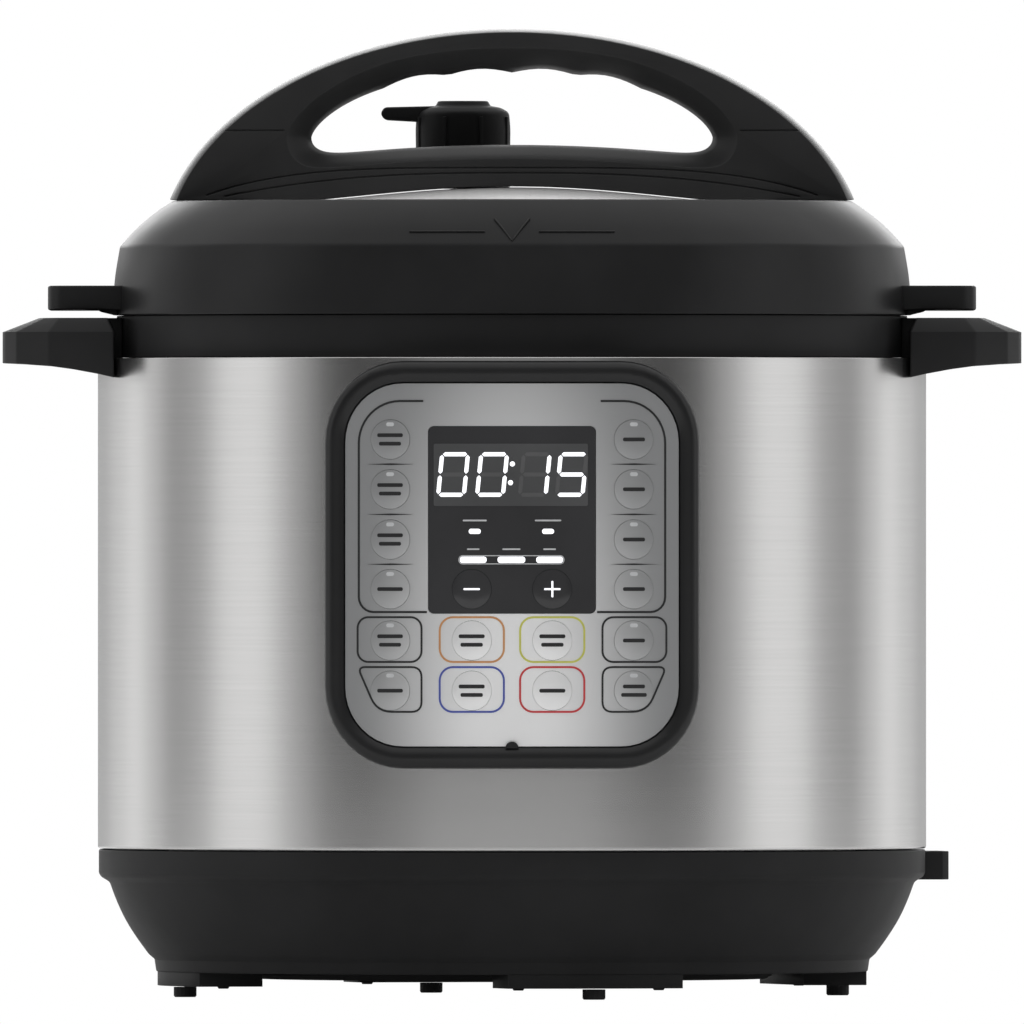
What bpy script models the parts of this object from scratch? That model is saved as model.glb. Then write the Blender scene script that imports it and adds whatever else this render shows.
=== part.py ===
"""Electric pressure cooker, built as separate pieces around the cooking pot's axis.

Lengths are in millimetres here, and become metres where a mesh is made. +Z is up, -Y is the
front, and the origin lies on the pot's axis, level with the soles of the feet.
"""

import math

import bmesh
import bpy
from mathutils import Matrix

MM = 0.001

# Driving dimensions
SHELL_R = 138.3
SHELL_LOW = 49.4
SHELL_TOP = 213.0
SHELL_WALL = 1.2
COLLAR_R = 132.0
COLLAR_TOP = 226.8
LID_R = 133.4
LID_LOW = 227.4
LID_RIM_R = 113.4
LID_RIM_Z = 265.5
LID_PLATE_R = 90.2
LID_PLATE_EDGE_Z = 264.2
LID_PLATE_CROWN = 5.9
ARCH_TOP = 323.0
ARCH_HALF_DEPTH = 15.0
REACH_X = 170.0
REACH_Y = 151.0
POT_R = 111.3
POT_LOW = 65.5
POT_RIM_Z = 220.0
POT_WALL = 1.2
POT_RIM_R = 116.0
LINER_R = 113.5
PANEL_R = 240.0
PANEL_BEND_STEP = 8.0
BEZEL_WIDTH = 127.0
BEZEL_HEIGHT = 135.0
BEZEL_CORNER_R = 27.0
BEZEL_RIM = 7.2
PANEL_Z = 144.2
PLATE_DEPTH = 1.6
PLATE_THICK = 1.4
WINDOW_WIDTH = 55.8
WINDOW_HEIGHT = 61.8
WINDOW_Z = 159.1
KEY_R = 6.5
BASE_LOW = 8.3
FOOT_R = 112.3
FOOT_ANGLES = (14.0, 104.0, 194.0, 284.0)
VALVE_XY = (-16.4, 38.0)
FLOAT_XY = (20.0, 40.0)
INLET_ANGLE = 8.0
SCREW_X = 100.0
SIDES = 40
GAP = 0.3
TINY = 0.01

KEY_ROWS_Z = (185.7, 169.2, 152.6, 136.2, 119.2, 102.6)
KEY_SIDE_U = 40.7
KEY_MIDDLE_U = 13.4
LEFT_KEYS = ("left_1", "left_2", "left_3", "left_4", "left_5", "left_6")
RIGHT_KEYS = ("right_1", "right_2", "right_3", "right_4", "right_5", "right_6")

# Colour, roughness, metallic and alpha
BLACK_PLASTIC = ((0.014, 0.014, 0.015), 0.42, 0.0, 1.0)
GLOSS_BLACK = ((0.012, 0.012, 0.013), 0.25, 0.0, 1.0)
STEEL = ((0.62, 0.61, 0.60), 0.30, 1.0, 1.0)
ALUMINIUM = ((0.70, 0.71, 0.72), 0.40, 1.0, 1.0)
SILVER_FILM = ((0.52, 0.53, 0.54), 0.38, 0.3, 1.0)
SILICONE = ((0.74, 0.76, 0.77), 0.55, 0.0, 1.0)
RED_SILICONE = ((0.45, 0.04, 0.03), 0.55, 0.0, 1.0)
RUBBER = ((0.020, 0.020, 0.021), 0.75, 0.0, 1.0)
SMOKED = ((0.030, 0.031, 0.033), 0.12, 0.0, 1.0)
DISPLAY = ((0.060, 0.062, 0.065), 0.30, 0.0, 1.0)
CIRCUIT = ((0.02, 0.13, 0.05), 0.50, 0.0, 1.0)
CLEAR = ((0.75, 0.78, 0.80), 0.10, 0.0, 0.35)
SPRING_STEEL = ((0.55, 0.55, 0.56), 0.35, 1.0, 1.0)
BRASS = ((0.70, 0.52, 0.24), 0.30, 1.0, 1.0)


def clear_scene():
    for obj in list(bpy.data.objects):
        bpy.data.objects.remove(obj, do_unlink=True)


def material(name, finish):
    colour, roughness, metallic, alpha = finish
    made = bpy.data.materials.new(name)
    made.use_nodes = True
    shader = made.node_tree.nodes["Principled BSDF"]
    shader.inputs["Base Color"].default_value = (*colour, 1.0)
    shader.inputs["Roughness"].default_value = roughness
    shader.inputs["Metallic"].default_value = metallic
    shader.inputs["Alpha"].default_value = alpha
    return made


def put(name, bm, finish=None, at=(0.0, 0.0, 0.0)):
    """Turns a bmesh in millimetres into an object in metres. With no finish it is a cutter."""
    bmesh.ops.recalc_face_normals(bm, faces=bm.faces)
    bmesh.ops.scale(bm, vec=(MM, MM, MM), verts=bm.verts)
    mesh = bpy.data.meshes.new(name)
    bm.to_mesh(mesh)
    bm.free()
    obj = bpy.data.objects.new(name, mesh)
    obj.location = [MM * value for value in at]
    bpy.context.scene.collection.objects.link(obj)
    if finish is None:
        obj.hide_render = True
        obj.display_type = "WIRE"
    else:
        mesh.materials.append(material(name, finish))
        smooth(obj)
    return obj


def smooth(obj):
    obj.data.shade_smooth()
    obj.data.set_sharp_from_angle(angle=math.radians(35))


def combine(obj, other, operation):
    """Applies a Boolean at once and removes the other object."""
    modifier = obj.modifiers.new("combine", "BOOLEAN")
    modifier.operation = operation
    modifier.solver = "EXACT"
    modifier.object = other
    bpy.context.view_layer.update()
    graph = bpy.context.evaluated_depsgraph_get()
    mesh = bpy.data.meshes.new_from_object(obj.evaluated_get(graph))
    obj.modifiers.clear()
    obj.data = mesh
    bpy.data.objects.remove(other, do_unlink=True)
    smooth(obj)


def cut(obj, cutter):
    combine(obj, cutter, "DIFFERENCE")


def join(obj, other):
    combine(obj, other, "UNION")


def lathe(profile, sides):
    """A closed surface turned from (radius, z) points: a ring, or a solid where it meets the axis."""
    bm = bmesh.new()
    rings = []
    for radius, z in profile:
        if radius == 0.0:
            rings.append([bm.verts.new((0.0, 0.0, z))])
            continue
        turn = [2 * math.pi * i / sides for i in range(sides)]
        rings.append([bm.verts.new((radius * math.cos(a), radius * math.sin(a), z)) for a in turn])
    on_axis = profile[0][0] == 0.0
    pairs = list(zip(rings, rings[1:]))
    if not on_axis:
        pairs.append((rings[-1], rings[0]))
    for lower, upper in pairs:
        for i in range(sides):
            j = (i + 1) % sides
            corners = [lower[i % len(lower)], lower[j % len(lower)]]
            corners += [upper[j % len(upper)], upper[i % len(upper)]]
            bm.faces.new(list(dict.fromkeys(corners)))
    return bm


def turned(name, profile, finish=None, sides=SIDES, at=(0.0, 0.0)):
    return put(name, lathe(profile, sides), finish, (*at, 0.0))


def prism(outline, low, high, axis="Z"):
    """Extrudes an outline of (x, y) points along Z, or of (x, z) points along Y."""
    bm = bmesh.new()
    ends = []
    for level in (low, high):
        places = [(a, b, level) if axis == "Z" else (a, level, b) for a, b in outline]
        ends.append([bm.verts.new(place) for place in places])
    bm.faces.new(ends[0])
    bm.faces.new(ends[1])
    count = len(outline)
    for i in range(count):
        j = (i + 1) % count
        bm.faces.new((ends[0][i], ends[0][j], ends[1][j], ends[1][i]))
    return bm


def arc(centre, radius, start, end, steps):
    """Points on an arc, angles in degrees, both ends included."""
    angles = [math.radians(start + (end - start) * i / steps) for i in range(steps + 1)]
    return [(centre[0] + radius * math.cos(a), centre[1] + radius * math.sin(a)) for a in angles]


def rounded(width, height, radius, steps=4, centre=(0.0, 0.0)):
    """A rectangle with round corners, as points in order."""
    half_w = width / 2 - radius
    half_h = height / 2 - radius
    points = []
    for start, (x, y) in zip((0, 90, 180, 270), ((1, 1), (-1, 1), (-1, -1), (1, -1))):
        corner = (centre[0] + x * half_w, centre[1] + y * half_h)
        points += arc(corner, radius, start, start + 90, steps)
    return points


def cylinder(radius, low, high, sides=SIDES):
    return lathe([(0.0, low), (radius, low), (radius, high), (0.0, high)], sides)


def block(x, y, z):
    """A box from three (low, high) pairs."""
    return prism([(x[0], y[0]), (x[1], y[0]), (x[1], y[1]), (x[0], y[1])], z[0], z[1])


def turn_about_axis(obj, degrees):
    """Turns a piece about the pot's axis and keeps the turn in its mesh."""
    obj.data.transform(Matrix.Rotation(math.radians(degrees), 4, "Z"))
    obj.data.update()


def mirrored(name, obj, finish):
    """A copy on the other side of the cooker."""
    mesh = obj.data.copy()
    mesh.transform(Matrix.Scale(-1, 4, (1, 0, 0)))
    mesh.flip_normals()
    mesh.materials.clear()
    mesh.materials.append(material(name, finish))
    copy = bpy.data.objects.new(name, mesh)
    bpy.context.scene.collection.objects.link(copy)
    return copy


# ---------------------------------------------------------------- body


def make_shell():
    inner = SHELL_R - SHELL_WALL
    lip = 129.0
    profile = [(SHELL_R, SHELL_LOW), (SHELL_R, SHELL_TOP - 2.0), (SHELL_R - 0.6, SHELL_TOP - 0.6)]
    profile += [(SHELL_R - 2.0, SHELL_TOP), (lip, SHELL_TOP), (lip, SHELL_TOP - SHELL_WALL)]
    profile += [(inner - 1.0, SHELL_TOP - SHELL_WALL), (inner, SHELL_TOP - 2.4), (inner, SHELL_LOW)]
    shell = turned("housing_shell", profile, STEEL)
    cut(shell, put("panel_gap", block((-44, 44), (-160, -110), (92, 198))))


def make_collar():
    ledge_r = 124.0
    inner = 129.6
    low = SHELL_TOP + GAP
    profile = [(COLLAR_R, low), (COLLAR_R, COLLAR_TOP), (inner, COLLAR_TOP), (inner, low + 3.0)]
    profile += [(ledge_r, low + 3.0), (ledge_r, low)]
    turned("upper_collar", profile, BLACK_PLASTIC)


def make_liner():
    flange_r = 127.6
    flange_low = 217.0
    bottom = 46.0
    wall = 1.2
    outer = LINER_R + wall
    profile = [(flange_r, flange_low), (flange_r, flange_low + wall), (LINER_R, flange_low + wall)]
    profile += [(LINER_R, bottom + wall), (62.0, bottom + wall), (62.0, bottom)]
    profile += [(outer, bottom), (outer, flange_low)]
    turned("outer_pot", profile, ALUMINIUM)


def make_heater():
    low = 47.6
    hole = 14.0
    profile = [(96.0, low), (96.0, 60.0), (92.0, 64.2), (hole, 65.2), (hole, low)]
    turned("heating_plate", profile, ALUMINIUM, 36)
    cup = [(26.0, 44.5), (26.0, 47.3), (20.0, 47.3), (20.0, 46.0), (4.6, 46.0), (4.6, 44.5)]
    turned("sensor_bracket", cup, STEEL, 24)
    sensor = [(0.0, 48.5), (3.8, 48.5), (3.8, 57.0), (12.8, 57.0), (12.8, 64.6), (11.8, 65.2)]
    sensor += [(0.0, 65.2)]
    turned("temperature_sensor", sensor, ALUMINIUM, 24)
    make_spring("sensor_spring", 7.6, 0.55, 46.4, 56.6, 3.5)


def make_spring(name, radius, wire_r, low, high, turns):
    per_turn = 9
    count = round(turns * per_turn)
    curve = bpy.data.curves.new(name, "CURVE")
    curve.dimensions = "3D"
    spline = curve.splines.new("POLY")
    spline.points.add(count)
    for i in range(count + 1):
        angle = 2 * math.pi * i / per_turn
        z = low + wire_r + (high - low - 2 * wire_r) * i / count
        place = (radius * math.cos(angle), radius * math.sin(angle), z)
        spline.points[i].co = [*(MM * value for value in place), 1.0]
    curve.bevel_depth = MM * wire_r
    curve.bevel_resolution = 0
    curve.use_fill_caps = True
    curve.materials.append(material(name, SPRING_STEEL))
    obj = bpy.data.objects.new(name, curve)
    bpy.context.scene.collection.objects.link(obj)


def make_inner_pot():
    corner = 8.0
    inner_corner = corner - POT_WALL
    outer_r = POT_R
    inner_r = POT_R - POT_WALL
    floor = POT_LOW + POT_WALL
    profile = [(0.0, POT_LOW)]
    profile += arc((outer_r - corner, POT_LOW + corner), corner, -90, 0, 3)
    profile += [(outer_r, POT_RIM_Z - POT_WALL - 1.0), (outer_r + 1.0, POT_RIM_Z - POT_WALL)]
    profile += [(POT_RIM_R, POT_RIM_Z - POT_WALL), (POT_RIM_R, POT_RIM_Z), (inner_r, POT_RIM_Z)]
    profile += arc((inner_r - inner_corner, floor + inner_corner), inner_corner, 0, -90, 3)
    profile += [(0.0, floor)]
    turned("inner_pot", profile, STEEL)


BASE_OUTSIDE = (
    (118.8, BASE_LOW),
    (119.6, 11.6),
    (121.6, 14.6),
    (124.9, 18.7),
    (129.1, 25.4),
    (132.2, 32.1),
    (134.6, 37.2),
    (136.8, 40.0),
    (138.0, 42.6),
    (138.0, SHELL_LOW - GAP),
)
BASE_WALL = 3.0


def make_base():
    profile = list(BASE_OUTSIDE)
    profile += [(136.0 - BASE_WALL, SHELL_LOW - GAP), (131.0, 37.2), (126.0, 25.4)]
    profile += [(117.5, BASE_LOW + BASE_WALL), (84.0, BASE_LOW + BASE_WALL), (84.0, BASE_LOW)]
    base = turned("base_housing", profile, BLACK_PLASTIC)
    for index, angle in enumerate(FOOT_ANGLES):
        pad = put(f"foot_pad_{index}", block((93.0, 118.4), (-30.0, 30.0), (3.7, BASE_LOW + 1.0)))
        turn_about_axis(pad, angle)
        trim = put(f"pad_trim_{index}", cylinder(118.6, 0.0, 20.0))
        combine(pad, trim, "INTERSECT")
        join(base, pad)
    hole = put("inlet_gap", block((100.0, 150.0), (-15.6, 15.6), (15.4, 60.0)))
    turn_about_axis(hole, INLET_ANGLE)
    cut(base, hole)


def make_bottom_cover():
    low, high = 5.9, BASE_LOW - GAP
    profile = [(0.0, low), (84.8, low), (87.6, 7.4), (87.6, high), (0.0, high)]
    cover = turned("bottom_cover", profile, BLACK_PLASTIC)
    for index in range(5):
        slot = rounded(44.0, 4.0, 1.9, 3, (0.0, 12.0 * (index - 2)))
        cut(cover, put(f"vent_{index}", prism(slot, 0.0, 20.0)))


def make_feet():
    for index, angle in enumerate(FOOT_ANGLES):
        at = [FOOT_R * f(math.radians(angle)) for f in (math.cos, math.sin)]
        foot = [(0.0, 0.0), (3.4, 0.0), (3.8, 0.5), (3.8, 3.7 - GAP), (0.0, 3.7 - GAP)]
        turned(f"foot_{index + 1}", foot, RUBBER, 16, at)


def make_side_handles():
    """A grip on a short neck, with a slot that holds the lid's fin when the lid is stood up."""
    neck_half, grip_low, top = 24.0, 132.6, 226.4
    shoulder_z = 221.8
    side = [(110.0, 206.4), (grip_low, 206.4), (138.9, 207.8), (147.0, 209.4), (156.0, 210.6)]
    side += [(REACH_X, 211.4), (REACH_X - 0.7, shoulder_z), (158.0, top), (110.0, top)]
    handle = put("right_handle", prism(side, -60.0, 60.0, "Y"), BLACK_PLASTIC)
    plan = [(110.0, -neck_half), (grip_low, -neck_half), (grip_low, -44.0), (155.0, -43.0)]
    plan += [(164.5, -37.0), (169.0, -27.0), (REACH_X, -16.0)]
    plan += [(x, -y) for x, y in reversed(plan)]
    combine(handle, put("plan", prism(plan, 200.0, 240.0)), "INTERSECT")
    section = [(-44.0, 200.0), (44.0, 200.0), (44.0, shoulder_z), (39.4, top), (-39.4, top)]
    section += [(-44.0, shoulder_z)]
    chamfer = put("section", prism(section, -180.0, -100.0, "Y"))
    turn_about_axis(chamfer, 90.0)
    combine(handle, chamfer, "INTERSECT")
    cut(handle, put("collar_room", cylinder(COLLAR_R + 0.5, 200.0, 240.0)))
    cut(handle, put("shell_room", cylinder(SHELL_R + 0.6, 190.0, SHELL_TOP + GAP)))
    under = rounded(14.0, 58.0, 5.0, 3, (155.0, 0.0))
    cut(handle, put("finger_room", prism(under, 190.0, 216.0)))
    slot = rounded(9.0, 52.0, 3.0, 2, (146.0, 0.0))
    cut(handle, put("fin_slot", prism(slot, 190.0, 240.0)))
    mirrored("left_handle", handle, BLACK_PLASTIC)


def make_inlet():
    """The mains socket under its visor, on the right of the base, with three blades."""
    half = 15.0
    reach, corner = 145.6, 2.4
    visor = [(116.0, -half), (reach - corner, -half), (reach, corner - half)]
    visor += [(x, -y) for x, y in reversed(visor)]
    body = put("power_inlet", prism(visor, 38.9, 48.4), BLACK_PLASTIC)
    socket = put("socket", block((111.0, 140.0), (-half, half), (15.8, 39.5)))
    outside = [(0.0, BASE_LOW), *BASE_OUTSIDE, (0.0, SHELL_LOW - GAP)]
    combine(socket, turned("socket_mouth", outside), "INTERSECT")
    join(body, socket)
    cut(body, put("socket_hollow", block((114.5, 160.0), (-12.0, 12.0), (19.5, 36.0))))
    turn_about_axis(body, INLET_ANGLE)
    for index, (y, z) in enumerate(((-7.0, 25.5), (0.0, 30.0), (7.0, 25.5))):
        blade = block((114.8, 125.0), (y - 1.0, y + 1.0), (z - 2.0, z + 2.0))
        pin = put(f"inlet_pin_{index + 1}", blade, BRASS)
        turn_about_axis(pin, INLET_ANGLE)


def make_collector():
    """A clear cup behind the shell that catches the drips from the collar."""
    inner = SHELL_R + 1.4
    low, high = 163.0, 205.0
    wall = 1.6
    outline = rounded(62.0, 40.0, 5.0, 3, (0.0, REACH_Y - 20.0))
    cup = put("condensation_collector", prism(outline, low, high), CLEAR)
    cut(cup, put("back_room", cylinder(inner, low - 10.0, high + 10.0)))
    inside = rounded(62.0 - 2 * wall, 60.0, 4.0, 3, (0.0, REACH_Y - 30.0 - wall))
    hollow = put("hollow", prism(inside, low + wall, 230.0))
    cut(hollow, put("front_wall", cylinder(inner + wall, 100.0, 300.0)))
    cut(cup, hollow)
    plan = rounded(50.0, 40.0, 3.0, 2, (0.0, REACH_Y - 22.0))
    bracket = put("collector_bracket", prism(plan, 205.6, 212.4), BLACK_PLASTIC)
    cut(bracket, put("bracket_room", cylinder(SHELL_R + 0.6, 190.0, 230.0)))
    cut(bracket, put("drip_hole", prism(rounded(20.0, 4.0, 1.9, 3, (0.0, 144.0)), 190.0, 230.0)))


def make_power_board():
    board = put("power_board", block((-48.0, 32.0), (-35.0, 35.0), (18.0, 19.6)), CIRCUIT)
    join(board, put("relay", block((-40.0, -22.0), (-25.0, -10.0), (19.0, 34.0))))
    join(board, put("transformer", block((-38.0, -12.0), (5.0, 28.0), (19.0, 38.0))))
    join(board, put("capacitor", block((4.0, 18.0), (-20.0, -6.0), (19.0, 36.0))))


# ---------------------------------------------------------------- control panel


def bent(obj):
    """Wraps a flat piece, drawn on the XZ plane with Y as its depth, round the panel's curve."""
    bm = bmesh.new()
    bm.from_mesh(obj.data)
    reach = int(BEZEL_WIDTH / 2 / PANEL_BEND_STEP)
    for step in range(-reach, reach + 1):
        place = (MM * PANEL_BEND_STEP * step, 0.0, 0.0)
        everything = bm.verts[:] + bm.edges[:] + bm.faces[:]
        bmesh.ops.bisect_plane(bm, geom=everything, plane_co=place, plane_no=(1, 0, 0), dist=MM * TINY)
    for vert in bm.verts:
        vert.co = [MM * value for value in panel_place(vert.co.x / MM, vert.co.y / MM, vert.co.z / MM)]
    bm.to_mesh(obj.data)
    bm.free()
    smooth(obj)


def panel_place(u, depth, z):
    angle = u / PANEL_R
    radius = PANEL_R - depth
    return (radius * math.sin(angle), PANEL_R - REACH_Y - radius * math.cos(angle), z)


def panel_slab(name, outline, front, back, finish=None):
    return put(name, prism(outline, front, back, "Y"), finish)


def key_places():
    """The name of each key and its place across and up the panel."""
    places = {f"key_{name}": (-KEY_SIDE_U, z) for name, z in zip(LEFT_KEYS, KEY_ROWS_Z)}
    places |= {f"key_{name}": (KEY_SIDE_U, z) for name, z in zip(RIGHT_KEYS, KEY_ROWS_Z)}
    middle = ((3, ("minus", "plus")), (4, ("middle_1", "middle_2")), (5, ("middle_3", "middle_4")))
    for row, names in middle:
        places[f"key_{names[0]}"] = (-KEY_MIDDLE_U, KEY_ROWS_Z[row])
        places[f"key_{names[1]}"] = (KEY_MIDDLE_U, KEY_ROWS_Z[row])
    return places


def cut_key_holes(obj, names):
    for name, (u, z) in key_places().items():
        if name in names:
            hole = arc((u, z), KEY_R + GAP, 0, 360 - 30, 11)
            cut(obj, panel_slab(f"hole_{name}", hole, -10.0, 30.0))


def make_bezel():
    outer = rounded(BEZEL_WIDTH, BEZEL_HEIGHT, BEZEL_CORNER_R, 5, (0.0, PANEL_Z))
    shape = panel_slab("panel_bezel", outer, 1.2, 26.0, GLOSS_BLACK)
    crest = rounded(BEZEL_WIDTH - 4.0, BEZEL_HEIGHT - 4.0, BEZEL_CORNER_R - 2.0, 5, (0.0, PANEL_Z))
    join(shape, panel_slab("crest", crest, 0.0, 5.0))
    width, height = BEZEL_WIDTH - 2 * BEZEL_RIM, BEZEL_HEIGHT - 2 * BEZEL_RIM
    inside = rounded(width, height, BEZEL_CORNER_R - BEZEL_RIM, 5, (0.0, PANEL_Z))
    cut(shape, panel_slab("inside", inside, -10.0, 40.0))
    bent(shape)
    cut(shape, put("shell_room", cylinder(SHELL_R + 0.7, 0.0, 260.0)))


def make_panel_plate():
    width = BEZEL_WIDTH - 2 * BEZEL_RIM - 2 * GAP
    height = BEZEL_HEIGHT - 2 * BEZEL_RIM - 2 * GAP
    radius = BEZEL_CORNER_R - BEZEL_RIM - GAP
    outline = rounded(width, height, radius, 5, (0.0, PANEL_Z))
    plate = panel_slab("panel_plate", outline, PLATE_DEPTH, PLATE_DEPTH + PLATE_THICK, SILVER_FILM)
    window = rounded(WINDOW_WIDTH + 2 * GAP, WINDOW_HEIGHT + 2 * GAP, 2.0, 2, (0.0, WINDOW_Z))
    cut(plate, panel_slab("window_gap", window, -10.0, 30.0))
    cut_key_holes(plate, [name for name in key_places() if name not in ("key_minus", "key_plus")])
    bent(plate)


def make_window():
    outline = rounded(WINDOW_WIDTH, WINDOW_HEIGHT, 1.8, 2, (0.0, WINDOW_Z))
    window = panel_slab("display_window", outline, PLATE_DEPTH - 0.1, PLATE_DEPTH + 1.7, SMOKED)
    cut_key_holes(window, ("key_minus", "key_plus"))
    bent(window)


def make_electronics():
    module = panel_slab("display_module", rounded(52.0, 22.0, 1.0, 1, (0.0, 173.7)), 3.8, 7.2, DISPLAY)
    bent(module)
    outline = rounded(100.0, 106.0, 6.0, 2, (0.0, PANEL_Z))
    board = panel_slab("control_board", outline, 8.6, 10.2, CIRCUIT)
    bent(board)


def make_keys():
    """Each key is a low dome that slides inwards along its own line."""
    profile = [(0.0, -2.6), (KEY_R, -2.6), (KEY_R, 0.15), (KEY_R - 0.8, 0.45), (0.0, 0.75)]
    for name, (u, z) in key_places().items():
        dark = name in ("key_minus", "key_plus")
        key = turned(name, profile, SMOKED if dark else SILVER_FILM, 12)
        key.location = [MM * value for value in panel_place(u, PLATE_DEPTH, z)]
        key.rotation_euler = (math.pi / 2, 0.0, u / PANEL_R)


# ---------------------------------------------------------------- lid


def plate_height(radius):
    """The height of the lid's domed plate, which flattens out at its middle and at its edge."""
    return LID_PLATE_EDGE_Z + LID_PLATE_CROWN * (1 - (radius / LID_PLATE_R) ** 2) ** 2


def upright_cutter(name, radius, at, low=200.0, high=340.0, sides=16):
    return turned(name, [(0.0, low), (radius, low), (radius, high), (0.0, high)], None, sides, at)


def make_lid_cover():
    inner = LID_PLATE_R + GAP
    profile = [(LID_R, LID_LOW), (132.6, 240.0), (130.9, 250.8), (125.0, 256.8), (119.4, 261.6)]
    profile += [(LID_RIM_R, LID_RIM_Z), (inner, LID_PLATE_EDGE_Z + 0.4), (inner, 261.6)]
    profile += [(111.6, 261.8), (126.6, 250.6), (129.6, 240.0), (130.2, LID_LOW)]
    cover = turned("lid_cover", profile, BLACK_PLASTIC)
    for side in (1, -1):
        fin = arc((0.0, 0.0), 131.0, -12.0, 12.0, 4)
        fin += [(146.0, 27.6)]
        fin += arc((147.0, 19.6), 8.0, 80, 0, 3)
        fin += [(x, -y) for x, y in reversed(fin[5:])]
        piece = put(f"fin_{side}", prism([(side * x, y) for x, y in fin], 229.3, 237.4))
        join(cover, piece)
        cut(cover, upright_cutter(f"screw_hole_{side}", 2.4, (side * SCREW_X, 0.0), sides=12))


def make_lid_plate():
    steps = (0.0, 16.0, 32.0, 48.0, 64.0, 77.0, LID_PLATE_R)
    profile = [(r, plate_height(r)) for r in steps]
    profile += [(r, plate_height(r) - 1.0) for r in reversed(steps)]
    plate = turned("lid_top_plate", profile, STEEL)
    cut(plate, upright_cutter("valve_hole", 8.0, VALVE_XY))
    cut(plate, upright_cutter("float_hole", 4.2, FLOAT_XY))


def arch_outside():
    """The arch's outer line: half an ellipse on the lid, and below it a bow over the plate."""
    half_width, rise = 118.0, 76.0
    centre_z = ARCH_TOP - rise
    foot_z = LID_RIM_Z + 0.5
    foot_angle = math.asin((foot_z - centre_z) / rise)
    steps = 22
    points = []
    for i in range(steps + 1):
        angle = foot_angle + (math.pi - 2 * foot_angle) * i / steps
        points.append((half_width * math.cos(angle), centre_z + rise * math.sin(angle)))
    for x in (-64.0, -48.0, -32.0, -16.0, 0.0, 16.0, 32.0, 48.0, 64.0):
        points.append((x, max(foot_z, plate_height(abs(x)) + 0.4)))
    return points


def arch_opening():
    """The hand hole: four finger hollows above, a gentle bow below."""
    half_width, tip_z, crest = 67.0, 286.7, 21.8
    finger, finger_depth = 21.5, 1.4
    middle = [finger * i / 4 for i in range(9)]
    outside = (48.5, 54.0, 59.0, 63.0, 65.6)
    places = [-x for x in reversed(outside)] + [-x for x in reversed(middle[1:])]
    places += middle + list(outside)
    top, bottom = [], []
    for x in places:
        share = abs(x) / half_width
        hollow = finger_depth * abs(math.sin(math.pi * x / finger)) if abs(x) <= 2 * finger else 0.0
        top.append((x, tip_z + crest * (1 - share**2.4) ** 0.66 + hollow))
    for x in (66.0, 64.4, 61.0, 52.0, 36.0, 18.0, 0.0, -18.0, -36.0, -52.0, -61.0, -64.4, -66.0):
        floor = 284.3 - 3.6 * (x / 64.0) ** 2
        bottom.append((x, tip_z - (tip_z - floor) * (1 - (abs(x) / half_width) ** 14) ** 0.5))
    return top[::-1] + [(-half_width, tip_z)] + bottom[::-1] + [(half_width, tip_z)]


def make_lid_handle():
    body = prism(arch_outside(), -ARCH_HALF_DEPTH, ARCH_HALF_DEPTH, "Y")
    arch = put("lid_handle", body, BLACK_PLASTIC)
    cut(arch, put("hand_hole", prism(arch_opening(), -40.0, 40.0, "Y")))
    for side in (1, -1):
        low = LID_RIM_Z - 10.0
        cut(arch, upright_cutter(f"screw_room_{side}", 2.3, (side * SCREW_X, 0.0), low, low + 18.0, 12))
        screw = [(0.0, 257.6), (3.6, 257.6), (3.6, 261.2), (2.0, 261.2), (2.0, 272.6), (0.0, 272.6)]
        name = "handle_screw_right" if side > 0 else "handle_screw_left"
        turned(name, screw, STEEL, 12, (side * SCREW_X, 0.0))


def make_lid_pan():
    """The pressed pan under the lid's cover, and the ring below it that locks onto the collar."""
    wall = 1.2
    reach = 128.4
    profile = [(0.0, 257.0), (89.0, 257.0), (106.0, 236.2), (reach, 236.2), (reach, 235.0)]
    profile += [(105.4, 235.0), (88.4, 257.0 - wall), (0.0, 257.0 - wall)]
    pan = turned("lid_inner_pan", profile, STEEL)
    low, high = 218.9, 235.0 - GAP
    ring = [(reach - wall, low), (reach, low), (reach, high), (reach - wall, high)]
    turned("lid_locking_ring", ring, STEEL)
    cut(pan, upright_cutter("pipe_hole", 4.8, VALVE_XY))
    cut(pan, upright_cutter("pin_hole", 3.5, FLOAT_XY, sides=12))


def make_seal():
    profile = [(112.6, 220.4), (120.0, 220.4), (123.0, 224.0), (123.0, 231.6), (120.4, 234.5)]
    profile += [(113.0, 234.5), (110.2, 233.0), (110.2, 224.0)]
    turned("sealing_ring", profile, SILICONE)
    wire = [(107.4 + x, 229.5 + z) for x, z in arc((0.0, 0.0), 1.2, 0, 270, 3)]
    turned("sealing_ring_rack", wire, STEEL)


def make_valve():
    pipe = [(2.2, 248.5), (3.6, 248.5), (4.4, 249.5), (4.4, 274.0), (3.0, 284.0), (2.2, 284.0)]
    turned("steam_pipe", pipe, STEEL, 16, VALVE_XY)
    shield = [(0.0, 242.0), (12.0, 242.0), (13.0, 243.5), (13.0, 255.4), (11.8, 255.4)]
    shield += [(11.8, 244.0), (0.0, 243.2)]
    turned("anti_block_shield", shield, STEEL, 20, VALVE_XY)
    cap = [(0.0, 299.3), (8.8, 299.3), (9.8, 297.5), (15.2, 295.8), (15.9, 290.0), (15.6, 270.0)]
    cap += [(12.4, 270.0)]
    cap += [(12.4, 280.0), (5.0, 280.0), (5.0, 287.0), (0.0, 287.0)]
    handle = turned("steam_release_handle", cap, BLACK_PLASTIC, 24, VALVE_XY)
    side = [(-8.0, 291.4), (-15.4, 292.4), (-25.4, 292.9), (-27.6, 294.4), (-27.2, 296.4)]
    side += [(-25.4, 297.1), (-8.0, 297.6)]
    lever = put("lever", prism(side, -5.2, 5.2, "Y"), None, (*VALVE_XY, 0.0))
    join(handle, lever)


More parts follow.
